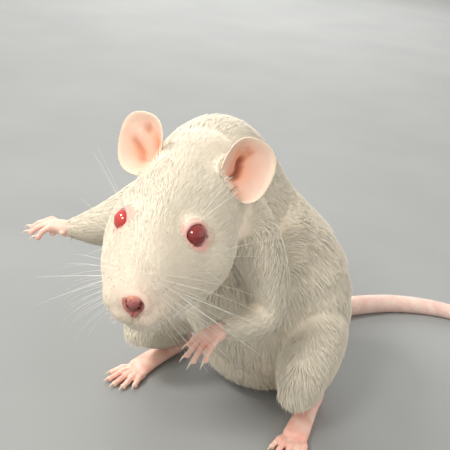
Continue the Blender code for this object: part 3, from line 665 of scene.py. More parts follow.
def lie_of_coat(points, owners, edges):
    """The way the coat lies at each point: back from the nose, down the trunk, and out along each limb."""
    middles = {name: np.array(middle_of(name)) for name in NODE_NAMES}
    down_trunk = ["head", "neck", "chest", "belly", "rump", "tail_1"]
    ways = {}
    for before, name, after in zip(down_trunk, down_trunk[1:], down_trunk[2:]):
        ways[name] = middles[after] - middles[before]
    for name, side in SIDES.items():
        arm = [middles[f"{part}_{name}"] for part in ("upper_arm", "forearm", "forepaw")]
        ways[f"upper_arm_{name}"] = arm[1] - arm[0]
        ways[f"forearm_{name}"] = ways[f"forepaw_{name}"] = arm[2] - arm[1]
        ways[f"thigh_{name}"] = np.array((side * 0.1, 0.25, -1.0))
        ways[f"shank_{name}"] = np.array((0, 0.8, -0.6))
        ways[f"hind_foot_{name}"] = np.array((side * 0.16, -1.0, -0.1))
    for name in NODE_NAMES:
        if name.startswith("tail"):
            ways[name] = np.array((0.05, 1.0, -0.4))
        ways.setdefault(name, np.zeros(3))
    rows = unit(np.array([ways[name] for name in NODE_NAMES]))
    found = rows[owners]
    head = in_head(points)
    from_nose = unit(head - np.array((27.0, 0, -8.0))) + np.array((-0.55, 0, 0))
    from_nose = unit(from_nose) @ HEAD_AXES.T
    mine = on_head(owners)
    found[mine] = from_nose[mine]
    return unit(spread(found, edges, 70))


def ear_clearance(points):
    """How far each point lies from the nearer ear's cup."""
    turn = np.radians(np.arange(0, 360, 10))
    cup = [ear_point(side, k / 8, a, -0.3) for side in SIDES.values() for k in range(9) for a in turn]
    tree = tree_of(cup)
    return np.array([tree.find(p)[2] for p in points])


def ripple(points, size, start):
    """Three smooth, seeded wavy values at each point."""
    random = np.random.default_rng(start)
    total = np.zeros((len(points), 3))
    for _ in range(5):
        wave = random.normal(size=(3, 3)) / size
        total += np.sin(points @ wave + random.uniform(0, 6.28, 3))
    return total / 5


def set_attribute(piece, name, values, colour=False):
    made = piece.data.attributes.new(name, "FLOAT_COLOR" if colour else "FLOAT", "POINT")
    made.data.foreach_set("color" if colour else "value", np.asarray(values, np.float32).ravel())


def fast_mesh(name, points, triangles):
    """A piece from arrays of points in millimetres and of triangles."""
    mesh = bpy.data.meshes.new(name)
    mesh.vertices.add(len(points))
    mesh.vertices.foreach_set("co", (points * MM).astype(np.float32).ravel())
    mesh.loops.add(triangles.size)
    mesh.loops.foreach_set("vertex_index", triangles.astype(np.int32).ravel())
    mesh.polygons.add(len(triangles))
    mesh.polygons.foreach_set("loop_start", np.arange(0, triangles.size, 3, dtype=np.int32))
    mesh.update(calc_edges=True)
    mesh.shade_smooth()
    return link(name, mesh)


# How wide a tuft's own patch of the map OFBake is
PATCH = 0.003
# How far a tuft's own roundness shows in its shading, beside the skin's
TUFT_ROUNDNESS = 0.40
# How thick a tuft is beside its width
TUFT_FLATNESS = 0.42


def tufts(name, roots, ways, normals, values, fall, spots, start, sharp=False, roundness=TUFT_ROUNDNESS):
    """One joined piece of tapered, closed tufts. Each rises from its root, bends over and ends in a point.

    values has a row of COAT for each root. spots are the roots' places on the skin's unwrap, for the patch that
    each tuft takes in the map OFBake.
    """
    random = np.random.default_rng(start)
    count = len(roots)
    along = unit(ways - (ways * normals).sum(1)[:, None] * normals)
    aside = np.cross(normals, along)
    along = unit(along + aside * random.normal(0, 0.11, count)[:, None])
    aside = np.cross(normals, along)
    size = (values[:, LENGTH] * random.uniform(0.72, 1.2, count))[:, None]
    half = (0.5 * values[:, WIDTH] * random.uniform(0.8, 1.2, count))[:, None]
    lift = np.radians(values[:, RISE] * random.uniform(0.6, 1.4, count))[:, None]
    drop = np.radians(fall * random.uniform(0.3, 1.4, count))[:, None]
    start_way = along * np.cos(lift) + normals * np.sin(lift)
    end_way = along * np.cos(drop) - normals * np.sin(drop)
    end_way = unit(end_way + aside * random.normal(0, 0.10, count)[:, None])
    corner = on_circle(90, 210, 330)
    sunk = roots - normals * (0.25 * half + 0.015 * size)
    shares = (0.0,) if sharp else (0.0, 0.5)
    rows, looks = [], []
    for share in shares:
        middle = sunk + start_way * size * share
        wide = half * (1 - 0.25 * share)
        for c, s in corner:
            rows.append(middle + aside * c * wide + normals * s * wide * TUFT_FLATNESS)
            looks.append(normals + (aside * c + normals * s) * roundness)
    rows.append(sunk + (unit(start_way + end_way) * size if sharp else (start_way + end_way) * size * 0.5))
    looks.append(normals)
    each = len(rows)
    points = np.stack(rows, 1).reshape(-1, 3)
    points[:, 2] = np.maximum(points[:, 2], FLOOR_GAP)
    faces = [(0, 2, 1)]
    if not sharp:
        for i in range(3):
            j = (i + 1) % 3
            faces += [(i, j, 3 + j), (i, 3 + j, 3 + i)]
    top = each - 4
    faces += [(top, top + 1, each - 1), (top + 1, top + 2, each - 1), (top + 2, top, each - 1)]
    faces = np.array(faces)
    triangles = (faces[None] + each * np.arange(count)[:, None, None]).reshape(-1, 3)
    made = fast_mesh(name, points, triangles)
    made.data.normals_split_custom_set_from_vertices(unit(np.stack(looks, 1).reshape(-1, 3)).tolist())
    # Where each of a tuft's points lies in its own patch of the map
    reach = np.repeat(shares, 3).tolist() + [1.0]
    offsets = [(c * 0.5, t - 0.5) for (c, s), t in zip(corner * len(shares), reach)] + [(0.0, 0.5)]
    places = (spots[:, None] + PATCH * np.array(offsets)[None]).reshape(-1, 2)
    layer = made.data.uv_layers.new(name="OFBake")
    layer.data.foreach_set("uv", places[triangles.ravel()].astype(np.float32).ravel())
    shades = np.ones((count, each, 4))
    shades[:, :, 0] = reach
    shades[:, :, 1] = random.uniform(0, 1, count)[:, None]
    shades[:, :, 2] = values[:, PINK][:, None]
    set_attribute(made, "coat", shades, True)
    return made


# The parts that share a region of the coat
COAT_REGIONS = {
    "muzzle": ("muzzle", "lower_jaw"),
    "head": ("head", "ear", "eye"),
    "neck": ("neck",),
    "chest": ("chest",),
    "belly": ("belly",),
    "rump": ("rump", "tail"),
    "arms": ("upper_arm", "forearm", "forepaw"),
    "legs": ("thigh", "shank", "hind_foot"),
}
# How far a tuft bends down at its end, in degrees
COAT_FALL = 4
# The most triangles of one piece of the coat, those of a tuft, and those of a sharp tuft, as on the muzzle
MOST_FACES = 190000
TUFT_FACES = 10
SHARP_FACES = 4


def coat(body, owners, values, clear):
    """The tufts of the whole body, in pieces by the part that they grow on."""
    points, normals = points_of(body), normals_of(body)
    ways = lie_of_coat(points, owners, neighbours(body))
    # Close round the eyes the hairs point away from the lids
    for side in SIDES.values():
        middle, out = (np.array(v) for v in eye_axes(side)[:2])
        away = in_head(points) - middle
        radial = unit(away - (away @ out)[:, None] * out) @ HEAD_AXES.T
        share = 1 - ramp(np.linalg.norm(away, axis=1), 4.0, 5.4)[:, None]
        ways = unit(ways) * (1 - share) + radial * share
    ways = ways + 0.13 * ripple(points, 3.2, SEED) + 0.08 * ripple(points, 1.1, SEED + 1)
    body.data.calc_loop_triangles()
    corners = rows_of(body.data.loop_triangles, "vertices", 3, int)
    loops = rows_of(body.data.loop_triangles, "loops", 3, int)
    spots = rows_of(body.data.uv_layers.active.data, "uv", 2)[loops]
    a, b, c = (points[corners[:, k]] for k in range(3))
    area = np.linalg.norm(np.cross(b - a, c - a), axis=1) / 2
    here = values[corners].mean(1)
    bare = ramp(clear, 0.8, 1.6)[corners].mean(1)
    wanted = area * here[:, COVER] * bare / (0.5 * here[:, LENGTH] * here[:, WIDTH])
    kinds = np.array([kind_of(n) for n in NODE_NAMES])[owners[corners[:, 0]]]
    made = []
    for k, (region, parts) in enumerate(COAT_REGIONS.items()):
        random = np.random.default_rng(SEED + 20 + k)
        share = np.where(np.isin(kinds, parts), wanted, 0)
        number = int(share.sum())
        sharp = region == "muzzle"
        pieces = math.ceil(number * (SHARP_FACES if sharp else TUFT_FACES) / MOST_FACES)
        chosen = random.choice(len(corners), number, p=share / share.sum())
        chosen = chosen[np.argsort((a[chosen] @ np.array((1.0, 0.1, 0.02))), kind="stable")]
        for part, mine in enumerate(np.array_split(chosen, pieces)):
            mix = random.dirichlet((1, 1, 1), len(mine))
            fields = [field[corners[mine]] for field in (points, normals, ways, values)] + [spots[mine]]
            root, normal, way, own, spot = (np.einsum("nk,nkd->nd", mix, field) for field in fields)
            name = f"coat_{region}_{part + 1}" if pieces > 1 else f"coat_{region}"
            start = SEED + 50 + 10 * k + part
            made.append(tufts(name, root, way, unit(normal), own, COAT_FALL, spot, start, sharp))
    return made


# The ears


def ear_fold(side, share, angle):
    """How far an ear's inner face stands out of its plain cup at each place: its folds, ribs and rolled rim."""
    share, angle = np.atleast_1d(share).astype(float), np.atleast_1d(angle).astype(float)
    places = np.stack([share * np.sin(angle), share * np.cos(angle)], 1)
    fold = np.zeros(len(share))
    for reach, wide, line in EAR_FOLDS[side]:
        fold += reach * np.exp(-((from_line(places, line) / wide) ** 2))
    fold += 0.20 * np.exp(-(((share - 0.96) / 0.05) ** 2))
    fold += 0.10 * np.sin(3 * angle + 5 * share) * share * (1 - share) * 4
    return fold * (1 - ramp(share, 0.94, 1.0) * (1 - 0.2))


# Where each ear's inner face is a deeper orange: place across and up the rim's plane, half width and share
EAR_WARMTH = {
    1: (
        ((-0.34, 0.50), 0.26, 0.9),
        ((0.02, 0.62), 0.20, 0.8),
        ((0.22, 0.10), 0.30, 0.7),
        ((0.20, -0.60), 0.25, 0.5),
    ),
    -1: (
        ((0.48, 0.0), 0.30, 0.8),
        ((-0.34, 0.30), 0.28, 0.9),
        ((0.0, 0.60), 0.22, 0.5),
        ((0.2, -0.5), 0.3, 0.4),
    ),
}
EAR_HAIRS = 5200


def behind(fold):
    """The lift of an ear's back, which follows the deeper folds, so that the wall stays whole behind them."""
    return -EAR_THICKNESS + 0.8 * min(0, fold)


def ear(name, side):
    """One ear as a thin cupped shell with a rounded rim and the folds of its inner face."""
    steps, around, rounding = 40, 128, 6
    turn = turns(around)
    _, up, out = (Vector(v) for v in EARS[side])
    face = out.cross(up).normalized()
    shares = [k / steps for k in range(1, steps + 1)]
    folds = [ear_fold(side, np.full(around, share), turn) for share in shares]
    front, back = [], []
    for s, row in zip(shares, folds):
        front.append([ear_point(side, s, a, lift) for a, lift in zip(turn, row)])
        back.append([ear_point(side, s, a, behind(lift)) for a, lift in zip(turn, row)])
    thick = EAR_THICKNESS * 0.65
    rim = []
    for step in range(1, rounding):
        phase = math.pi * step / rounding
        row = []
        for a, edge in zip(turn, front[-1]):
            outward = (up * math.cos(a) + out * math.sin(a)).normalized()
            offset = outward * math.sin(phase) * thick * 0.5 - face * (1 - math.cos(phase)) * thick * 0.5
            offset.y *= side
            row.append(edge + HEAD.to_3x3() @ offset)
        rim.append(row)
    first = ear_fold(side, 0, 0)[0]
    ends = [ear_point(side, 0, 0, lift) for lift in (first, behind(first))]
    made = skin_rings(name, front + rim + back[::-1], *ends)
    count, inside = len(made.data.vertices), 1 + steps * around
    along = np.concatenate([[0.0], np.repeat(shares, around), np.ones(len(rim) * around)])
    along = np.concatenate([along, np.repeat(shares[::-1], around), [0.0]])
    inner = np.repeat([1.0, 0.5, 0.0], [inside, len(rim) * around, inside])
    fold, angle, glow = np.zeros((3, count))
    fold[:inside] = np.concatenate([[first], *folds])
    angle[1:inside] = np.tile(turn, steps)
    places = np.stack([along * np.sin(angle), along * np.cos(angle)], 1)
    for place, wide, share in EAR_WARMTH[side]:
        glow += share * np.exp(-((np.linalg.norm(places - np.array(place), axis=1) / wide) ** 2))
    for kind, values in (("share", along), ("inner", inner), ("fold", fold), ("warmth", glow * inner)):
        set_attribute(made, kind, values)
    return made


def ear_down(name, side, start):
    """The fine down on an ear's back, its rim and, thinly, its inner face."""
    random = np.random.default_rng(start)
    roots, ways, normals, spots, lengths = [], [], [], [], []
    for k in range(EAR_HAIRS):
        back = k % 5 < 3
        share = random.uniform(0.25, 1.0) ** 0.5
        if not back and share < 0.75 and random.uniform() < 0.7:
            share = random.uniform(0.8, 1.0)
        angle = random.uniform(0, 2 * math.pi)
        fold = float(ear_fold(side, share, angle)[0])
        lift = behind(fold) if back else fold
        place = ear_point(side, share, angle, lift)
        further = ear_point(side, min(share + 0.03, 1.03), angle, lift)
        beside = ear_point(side, share, angle + 0.05, lift)
        normal = (further - place).cross(beside - place).normalized()
        out = ear_point(side, share, angle, lift + 1) - place
        if normal.dot(out) * (-1 if back else 1) < 0:
            normal = -normal
        roots.append(place)
        ways.append(further - place)
        normals.append(normal)
        spots.append((0.5 + 0.45 * share * math.cos(angle), 0.5 + 0.45 * share * math.sin(angle)))
        lengths.append(1.3 if back else 0.7)
    values = np.tile((1.0, 0.09, 15, 0, 0, 0.35), (len(roots), 1))
    values[:, LENGTH] = lengths
    roots, ways, normals, spots = (np.array(rows) for rows in (roots, ways, normals, spots))
    return tufts(name, roots, ways, normals, values, COAT_FALL, spots, start, sharp=True, roundness=2.0)


# The eyes


def eyeball(name, side):
    """A ball with the clear bulge of its front."""
    middle, out, ahead, above = eye_axes(side)
    select()
    bpy.ops.mesh.primitive_uv_sphere_add(segments=72, ring_count=48, radius=1)
    made = bpy.context.active_object
    made.name = name
    points = np.array([v.co for v in made.data.vertices])
    gaze = np.clip(points[:, 2], -1, 1)
    size = EYE_RADIUS * (1 + 0.035 * ramp(gaze, 0.45, 0.95))
    turn = np.array([tuple(ahead), tuple(above), tuple(out)])
    places = np.array(middle) + (points * size[:, None]) @ turn
    move_points(made, from_head(places))
    face_out(made.data)
    made.data.shade_smooth()
    set_attribute(made, "gaze", gaze)
    # glow is painted light: the ball is painted brighter towards its lower side, as if light shone through it
    low = points[:, 1] * -0.75 - points[:, 0] * 0.35
    set_attribute(made, "glow", np.clip(0.5 + 0.5 * low, 0, 1))
    return made


def lids(name, side):
    """The bare, moist rims of both lids, and the small swelling in their front corner."""
    rim = lid_ring("rim", side, 0.36, 0.2, EYE_OPENING - math.radians(4))
    middle, out, ahead, _ = eye_axes(side)
    wide = EYE_OPENING * (1 + 0.8 * EYE_CORNER)
    corner = middle + (out * math.cos(wide) + ahead * math.sin(wide)) * (EYE_RADIUS + 0.05)
    return join(name, [rim, small_egg("corner", corner, (0.62, 0.5, 0.5), True)])


# The nose

# How far the nose lies aside of the head's middle, and the fineness of its grid
NOSE_ASIDE = 0.35
NOSE_VOXEL = 0.15
# The parts of one side of the nose, as stations of a limb: its wing, the nostril and the nostril's depth
NOSE_WING = (
    (22.0, 1.0, -7.2, 0.45, 0.45),
    (22.6, 2.2, -7.6, 0.6, 0.6),
    (23.1, 2.6, -8.9, 0.66, 0.66),
    (23.6, 2.1, -10.5, 0.66, 0.66),
    (24.0, 1.1, -11.2, 0.62, 0.62),
)
NOSE_PIT = (
    (25.6, 0.6, -10.0, 0.28, 0.30),
    (25.1, 1.3, -9.8, 0.46, 0.46),
    (24.6, 1.8, -9.1, 0.54, 0.54),
    (24.1, 2.0, -8.2, 0.44, 0.44),
    (23.5, 2.0, -7.1, 0.16, 0.2),
)
NOSE_DEEP_PIT = ((24.9, 1.6, -9.6, 0.46, 0.44), (22.9, 1.2, -9.3, 0.3, 0.3))


def nose(name):
    """The bare tip of the nose: its bulb, the wings round both nostrils and the split pad below."""
    forms = [
        egg("base", (22.2, 0, -9.2), (2.9, 2.7, 2.9)),
        egg("bulb", (23.5, NOSE_ASIDE, -8.2), (2.1, 2.15, 1.8), math.radians(20)),
        egg("pad", (23.4, NOSE_ASIDE, -11.8), (1.6, 1.3, 1.6), math.radians(-10)),
    ]
    pits = []
    for side in SIDES.values():
        # The left nostril, on the photo's near side, is the wider
        open_by = 1 + 0.2 * side
        wing = [(x, side * y, z, a, b) for x, y, z, a, b in NOSE_WING]
        pit, deep = (
            [(x, NOSE_ASIDE + side * y, z, a * open_by, b * open_by) for x, y, z, a, b in stations]
            for stations in (NOSE_PIT, NOSE_DEEP_PIT)
        )
        forms.append(limb("wing", wing, 20, 6, (0.5, 0.8, 0), True))
        pits.append(limb("pit", pit, 16, 6, (0.5, 0.8, 0), True))
        pits.append(limb("deep_pit", deep, 16, 6, (0, 0, 1), True))
    made = join(name, forms)
    remesh(made, NOSE_VOXEL)
    soften(made, np.ones(len(made.data.vertices)), 9)
    for pit in pits:
        cut_away(made, pit)
    remesh(made, NOSE_VOXEL)
    points = points_of(made)
    _, y, z = in_head(points).T
    groove = np.exp(-(((y - NOSE_ASIDE) / 0.28) ** 2)) * ramp(-z, 10.2, 11.2) * 0.55
    move_points(made, points - normals_of(made) * groove[:, None])
    soften(made, np.ones(len(made.data.vertices)), 2)
    made.data.shade_smooth()
    low, around = in_head(points_of(made)), np.zeros(len(points))
    low[:, 1] -= NOSE_ASIDE
    # Painted shade in and round both nostrils, wider round the left one
    for side in SIDES.values():
        for x, y, z, wide in ((25.3, 0.8, -10.0, 0.9), (24.9, 1.6, -9.5, 1.25), (24.2, 1.95, -8.3, 0.95)):
            near = np.linalg.norm(low - np.array((x, side * y, z)), axis=1) / (1 + 0.15 * side)
            around = np.maximum(around, 1 - ramp(near, 0.3 * wide, 1.15 * wide))
    bulb = np.linalg.norm(low - np.array((25.4, 0.4, -8.9)), axis=1)
    set_attribute(made, "dark", around)
    # top is painted light: the nose is painted lighter towards its top, as if lit from above
    set_attribute(made, "top", ramp(low[:, 2], -9.4, -6.4))
    set_attribute(made, "bulb", 1 - ramp(bulb, 1.7, 3.4))
    return made


# Whiskers and other long hairs

# The whiskers' rows on one pad: front and back end in the head's frame, and how many grow between them
WHISKER_ROWS = (
    ((21.3, 3.0, -4.0), (17.6, 5.2, -2.3), 4),
    ((21.6, 5.2, -6.4), (15.8, 9.2, -5.4), 5),
    ((22.5, 5.6, -10.5), (14.5, 11.4, -9.9), 6),
    ((22.2, 5.8, -13.2), (15.2, 11.0, -12.2), 5),
    ((21.3, 6.2, -15.4), (17.0, 9.2, -14.6), 4),
)
# The two strong ones that catch the light: how far each reaches forward, aside and up from its root
STRONG_WHISKERS = {(2, 4): (-5.7, 24.2, -19.2), (2, 5): (-9.7, 25.5, -13.3)}
# Radii at the root and at the tip
STRONG_RADIUS = 0.10
WHISKER_TIP = 0.02
SHEATH_RADIUS = 0.15
SHEATH_TIP = 0.05


def strands(name, curves, start_radii, last, sides=5):
    """Long tapered hairs, each along its own row of points, as one piece. last is the radius at their tips."""
    points, faces = [], []
    for curve, first in zip(curves, start_radii):
        curve = smooth_rows(curve, 4)
        ways = unit(np.gradient(curve, axis=0))
        base = len(points)
        turn = turns(sides)
        for k, (place, way) in enumerate(zip(curve[:-1], ways)):
            wide = np.cross(way, (0.1, 0.2, 1.0))
            wide /= np.linalg.norm(wide)
            deep = np.cross(way, wide)
            radius = first + (last - first) * k / (len(curve) - 1)
            points += list(place + radius * (np.outer(np.cos(turn), wide) + np.outer(np.sin(turn), deep)))
        points.append(curve[-1])
        rows = len(curve) - 1
        for k in range(rows - 1):
            for i in range(sides):
                j = (i + 1) % sides
                a, b = base + k * sides, base + (k + 1) * sides
                faces += [(a + i, a + j, b + j), (a + i, b + j, b + i)]
        top = base + (rows - 1) * sides
        for i in range(sides):
            faces.append((top + i, top + (i + 1) % sides, len(points) - 1))
        for i in range(1, sides - 1):
            faces.append((base, base + i + 1, base + i))
    made = fast_mesh(name, np.array(points), np.array(faces))
    face_out(made.data)
    return made


def nearest_skin(skin_tree, skin_points, place):
    """The point of the skin nearest to a place, both in the head's frame."""
    return Vector(in_head(skin_points[skin_tree.find(tuple(from_head(place)[0]))[1]])[0])


def whiskers(name, side, skin_tree, skin_points):
    """The whiskers of one side and, as their own piece, the dark sheaths that they grow from."""
    random = np.random.default_rng(SEED + 300 + side)
    curves, thick, sheaths = [], [], []
    for row, (front, back, count) in enumerate(WHISKER_ROWS):
        for place in range(count):
            share = place / (count - 1)
            spot = np.array(front) + (np.array(back) - np.array(front)) * share
            spot[1] = (spot[1] + 1.5) * side
            at = nearest_skin(skin_tree, skin_points, spot)
            steps = (-0.02, 0.2, 0.45, 0.72, 1.0)
            strong = STRONG_WHISKERS.get((row, place))
            if strong:
                reach = Vector((strong[0], side * strong[1], strong[2]))
                bend = Vector((-2.5, 0, -2.0))
                curve = [at + reach * s + bend * (s * s - s) for s in steps]
                aim = reach.normalized()
            else:
                length = (11 + 17 * share) * random.uniform(0.85, 1.1)
                lift = -0.12 - 0.2 * row + random.uniform(-0.08, 0.08)
                aim = Vector((0.34 - 0.75 * share, side, lift)).normalized()
                bend = Vector((-0.26, side * -0.08, -0.30 + random.uniform(-0.08, 0.05)))
                curve = [at + aim * length * s + bend * length * max(0.0, s) ** 2 for s in steps]
            curves.append(from_head(curve))
            thick.append(STRONG_RADIUS if strong else 0.028 + 0.02 * share)
            sheaths.append(from_head([at + aim * step for step in (-0.3, 0.0, 0.2, 0.38)]))
    made = strands(name, curves, thick, WHISKER_TIP)
    return made, strands(f"{name}_sheaths", sheaths, [SHEATH_RADIUS] * len(sheaths), SHEATH_TIP, 8)


# Feelers beside the whiskers: place and end in the head's frame, on the left side
LONG_HAIRS = (
    ((2.0, 11.0, 5.5), (-4.0, 20.0, 19.0)),
    ((0.0, 12.0, 5.2), (-9.0, 24.0, 15.0)),
    ((3.5, 10.0, 5.0), (4.0, 16.0, 17.0)),
    ((-5.0, 17.0, -7.0), (-17.0, 32.0, -6.0)),
    ((-6.0, 17.5, -9.0), (-16.0, 30.0, -13.0)),
    ((5.0, 13.5, -7.0), (4.0, 22.0, -13.0)),
)
FEELER_RADIUS = 0.055
# Short bristles along the lips: how many on each side, and their radius
LIP_BRISTLES = 34
BRISTLE_RADIUS = 0.035
FEELER_TIP = 0.015


def long_hairs(name, skin_tree, skin_points):
    """The few long feelers over the eyes and on the cheeks, and short bristles along the lips and chin."""
    random = np.random.default_rng(SEED + 400)
    curves, thick = [], []
    for side in SIDES.values():
        for start, end in LONG_HAIRS:
            start, end = (Vector((p[0], side * p[1], p[2])) for p in (start, end))
            root = nearest_skin(skin_tree, skin_points, start)
            bow = Vector((0, 0, 0.12)) * (end - root).length
            steps = (0.0, 0.3, 0.6, 1.0)
            curves.append(from_head([root + (end - root) * s + bow * s * (1 - s) for s in steps]))
            thick.append(FEELER_RADIUS)
        for _ in range(LIP_BRISTLES):
            x = random.uniform(11, 23.5)
            z = mouth_level(x, 6) + random.uniform(-3.0, 3.0)
            y = side * (3.0 + 0.65 * (23.5 - x) + random.uniform(0, 2))
            root = nearest_skin(skin_tree, skin_points, (x, y, z))
            way = Vector((0.3, side * random.uniform(0.3, 1.0), -random.uniform(0.5, 1.1))).normalized()
            length = random.uniform(1.4, 3.4)
            bend = Vector((-0.2, 0, -0.1)) * length
            steps = (0.0, 0.35, 0.7, 1.0)
            curves.append(from_head([root + way * length * s + bend * s * s for s in steps]))
            thick.append(BRISTLE_RADIUS)
    return strands(name, curves, thick, FEELER_TIP, 4)


# Paws, claws and tail, in the body's frame

# Each forepaw's wrist, the way it points, how far its fingers bend down, the way its wrist runs back, and its
# thumb's side
FOREPAWS = {
    "right": ((-42.3, -46.8, 72.6), (-0.86, -0.50, 0.06), 2.4, (3.0, 2.3, 0.3), 1),
    "left": ((17.4, -47.2, 57.8), (-0.38, -0.66, -0.50), 1.6, (4.6, 7.8, -0.7), -1),
}
FORE_DIGITS = (5.4, 7.2, 7.0, 5.2)
HIND_DIGITS = (6.4, 9.6, 10.2, 9.4, 6.0)
CLAW_LENGTH = 2.3
CLAW_RADIUS = 0.55
CLAW_TIP = 0.04
# How far above the floor the claws' middle lines stay
CLAW_GAP = 0.15
FOREPAW_VOXEL = 0.2
HIND_FOOT_VOXEL = 0.26
DOWN = Vector((0, 0, -1))


def digit(root, aim, length, radius, rise, fall):
    """One toe or finger with its joints, bent down by fall, and the pad at its tip."""
    stations = []
    for share, lift, drop, size in (
        (-0.2, 0.0, 0.0, 1.05),
        (0.12, 0.5, 0.0, 1.0),
        (0.34, 1.0, 0.05, 1.04),
        (0.52, 0.8, 0.18, 0.84),
        (0.70, 0.5, 0.40, 0.88),
        (0.86, 0.1, 0.72, 0.76),
        (1.0, 0.0, 1.0, 0.84),
    ):
        place = root + aim * length * share - DOWN * (rise * lift - fall * drop)
        stations.append((*place, radius * size, radius * size))
    tip = root + aim * length * 0.97 + DOWN * (radius * 0.3 + fall * 0.97)
    pad = small_egg("pad", tip, (radius * 0.92, radius * 0.92, radius * 0.7))
    return [limb("digit", stations, sides=20, steps=4, across=(aim.y, -aim.x, 0)), pad]


def claw(root, aim, drop):
    """A curved, tapered claw: rows of points from its root to its tip."""
    return [
        tuple(root - aim * 1.1),
        tuple(root + aim * CLAW_LENGTH * 0.25 - DOWN * 0.06),
        tuple(root + aim * CLAW_LENGTH * 0.62 + DOWN * drop * 0.28),
        tuple(root + aim * CLAW_LENGTH + DOWN * drop),
    ]


def paw_forms(wrist, aim, fan, lengths, radius, palm, rise, fall, drop, arm):
    """A palm with its digits fanned out, its wrist running back the way arm points: its forms and its claws."""
    wrist, aim, arm = Vector(wrist), Vector(aim).normalized(), Vector(arm).normalized()
    aside = Vector((-aim.y, aim.x, 0)).normalized()
    length, wide, thick = palm
    stations = [
        (*(wrist + arm * 4.5), wide * 0.34, thick * 0.56),
        (*(wrist + arm * 1.0), wide * 0.38, thick * 0.54),
        (*(wrist + aim * length * 0.5), wide * 0.5, thick * 0.48),
        (*(wrist + aim * length), wide * 0.5, thick * 0.44),
    ]
    forms = [limb("palm", stations, sides=28, across=tuple(aside))]
    claws = []
    for i, size in enumerate(lengths):
        share = i / (len(lengths) - 1) - 0.5
        way = (aim * math.cos(share * fan) + aside * math.sin(share * fan)).normalized()
        root = wrist + aim * length * (1.0 - 0.35 * abs(share)) + aside * share * (wide - radius * 1.2)
        forms += digit(root, way, size, radius, rise, fall)
        tip = root + way * (size + radius * 0.5) + Vector((0, 0, 0.2 * radius - fall))
        claws.append(claw(tip, way, drop))
    return forms, claws


def above_floor(points):
    """Points of the body's frame in the part's frame, held above the floor."""
    return np.maximum(placed(points), (-1e3, -1e3, FLOOR_GAP))


def finish_paw(name, forms, claws, fine):
    """A paw's forms as one fine surface, on the floor where it reaches it, and its claws as their own piece."""
    made = join(name, forms)
    remesh(made, fine)
    soften(made, np.full(len(made.data.vertices), 0.9), 5)
    move_points(made, above_floor(points_of(made)))
    made.data.shade_smooth()
    rows = [placed(np.array(row)) for row in claws]
    for row in rows:
        row[:, 2] = np.maximum(row[:, 2], CLAW_GAP)
    return made, strands(f"{name}_claws", rows, [CLAW_RADIUS] * len(rows), CLAW_TIP, 12)


def forepaw(name, wrist, aim, fall, arm, thumb_side):
    palm = (5.4, 6.8, 4.4)
    forms, claws = paw_forms(wrist, aim, math.radians(46), FORE_DIGITS, 1.12, palm, 0.6, fall, 1.1, arm)
    wrist, aim = Vector(wrist), Vector(aim).normalized()
    aside = Vector((-aim.y, aim.x, 0)).normalized() * thumb_side
    forms.append(small_egg("thumb", wrist + aim * 1.6 + aside * 2.9 + DOWN * 0.5, (1.1, 1.1, 0.9)))
    for ahead, across in ((0.9, -1.8), (0.9, 1.8), (4.8, -2.4), (5.6, 0.0), (4.8, 2.4)):
        place = wrist + aim * ahead + aside * across + DOWN * 1.6
        forms.append(small_egg("pad", place, (1.1, 1.0, 0.8)))
    return finish_paw(name, forms, claws, FOREPAW_VOXEL)


def hind_foot(name, side):
    heel = Vector((side * 30, 12, 2.9))
    aim = Vector((side * 0.16, -1, 0)).normalized()
    ball = heel + aim * 25
    stations = [
        (*(heel - aim * 1.5 + Vector((0, 0, 2.0))), 3.3, 3.2),
        (*heel, 3.4, 3.2),
        (*(heel + aim * 9), 3.6, 3.0),
        (*(heel + aim * 18), 4.2, 2.8),
        (ball.x, ball.y, 2.25, 4.7, 2.45),
    ]
    forms = [limb("sole", stations, sides=32)]
    root = (ball.x, ball.y, 1.25)
    toes, claws = paw_forms(root, aim, math.radians(38), HIND_DIGITS, 1.3, (3.0, 9.4, 3.9), 0.7, 0.0, 0.5, -aim)
    return finish_paw(name, forms + toes, claws, HIND_FOOT_VOXEL)


# Points of the tail's middle line and its radius there
TAIL_PATH = [
    (0, 34, 15.0, 8.6),
    (0.5, 43, 8.8, 6.6),
    (2, 52, 5.2, 5.4),
    (6, 65, 4.4, 4.8),
    (15, 82, 3.9, 4.3),
    (31, 99, 3.4, 3.8),
    (52, 109, 2.9, 3.3),
    (75, 109, 2.35, 2.75),
    (95, 99, 1.8, 2.2),
    (108, 83, 1.3, 1.7),
    (113, 67, 0.95, 1.35),
    (112, 55, 0.75, 1.1),
]
# The length of a ring of scales, the mesh's rows in it, and the mesh's points round the tail
TAIL_RING = 0.85
TAIL_RING_ROWS = 4
TAIL_SIDES = 44
TAIL_ACROSS = (1, 0.3, 0)
TAIL_BRISTLES = 3600
TAIL_FALL = 2


def tail_rows():
    """The tail's middle line and radius at even steps, with the way it runs."""
    rows = smooth_rows(TAIL_PATH, 24)
    steps = np.linalg.norm(np.diff(rows[:, :3], axis=0), axis=1)
    far = np.concatenate([[0], np.cumsum(steps)])
    count = round(far[-1] / TAIL_RING) * TAIL_RING_ROWS
    even = np.linspace(0, far[-1], count)
    return np.stack([np.interp(even, far, rows[:, k]) for k in range(4)], 1), even


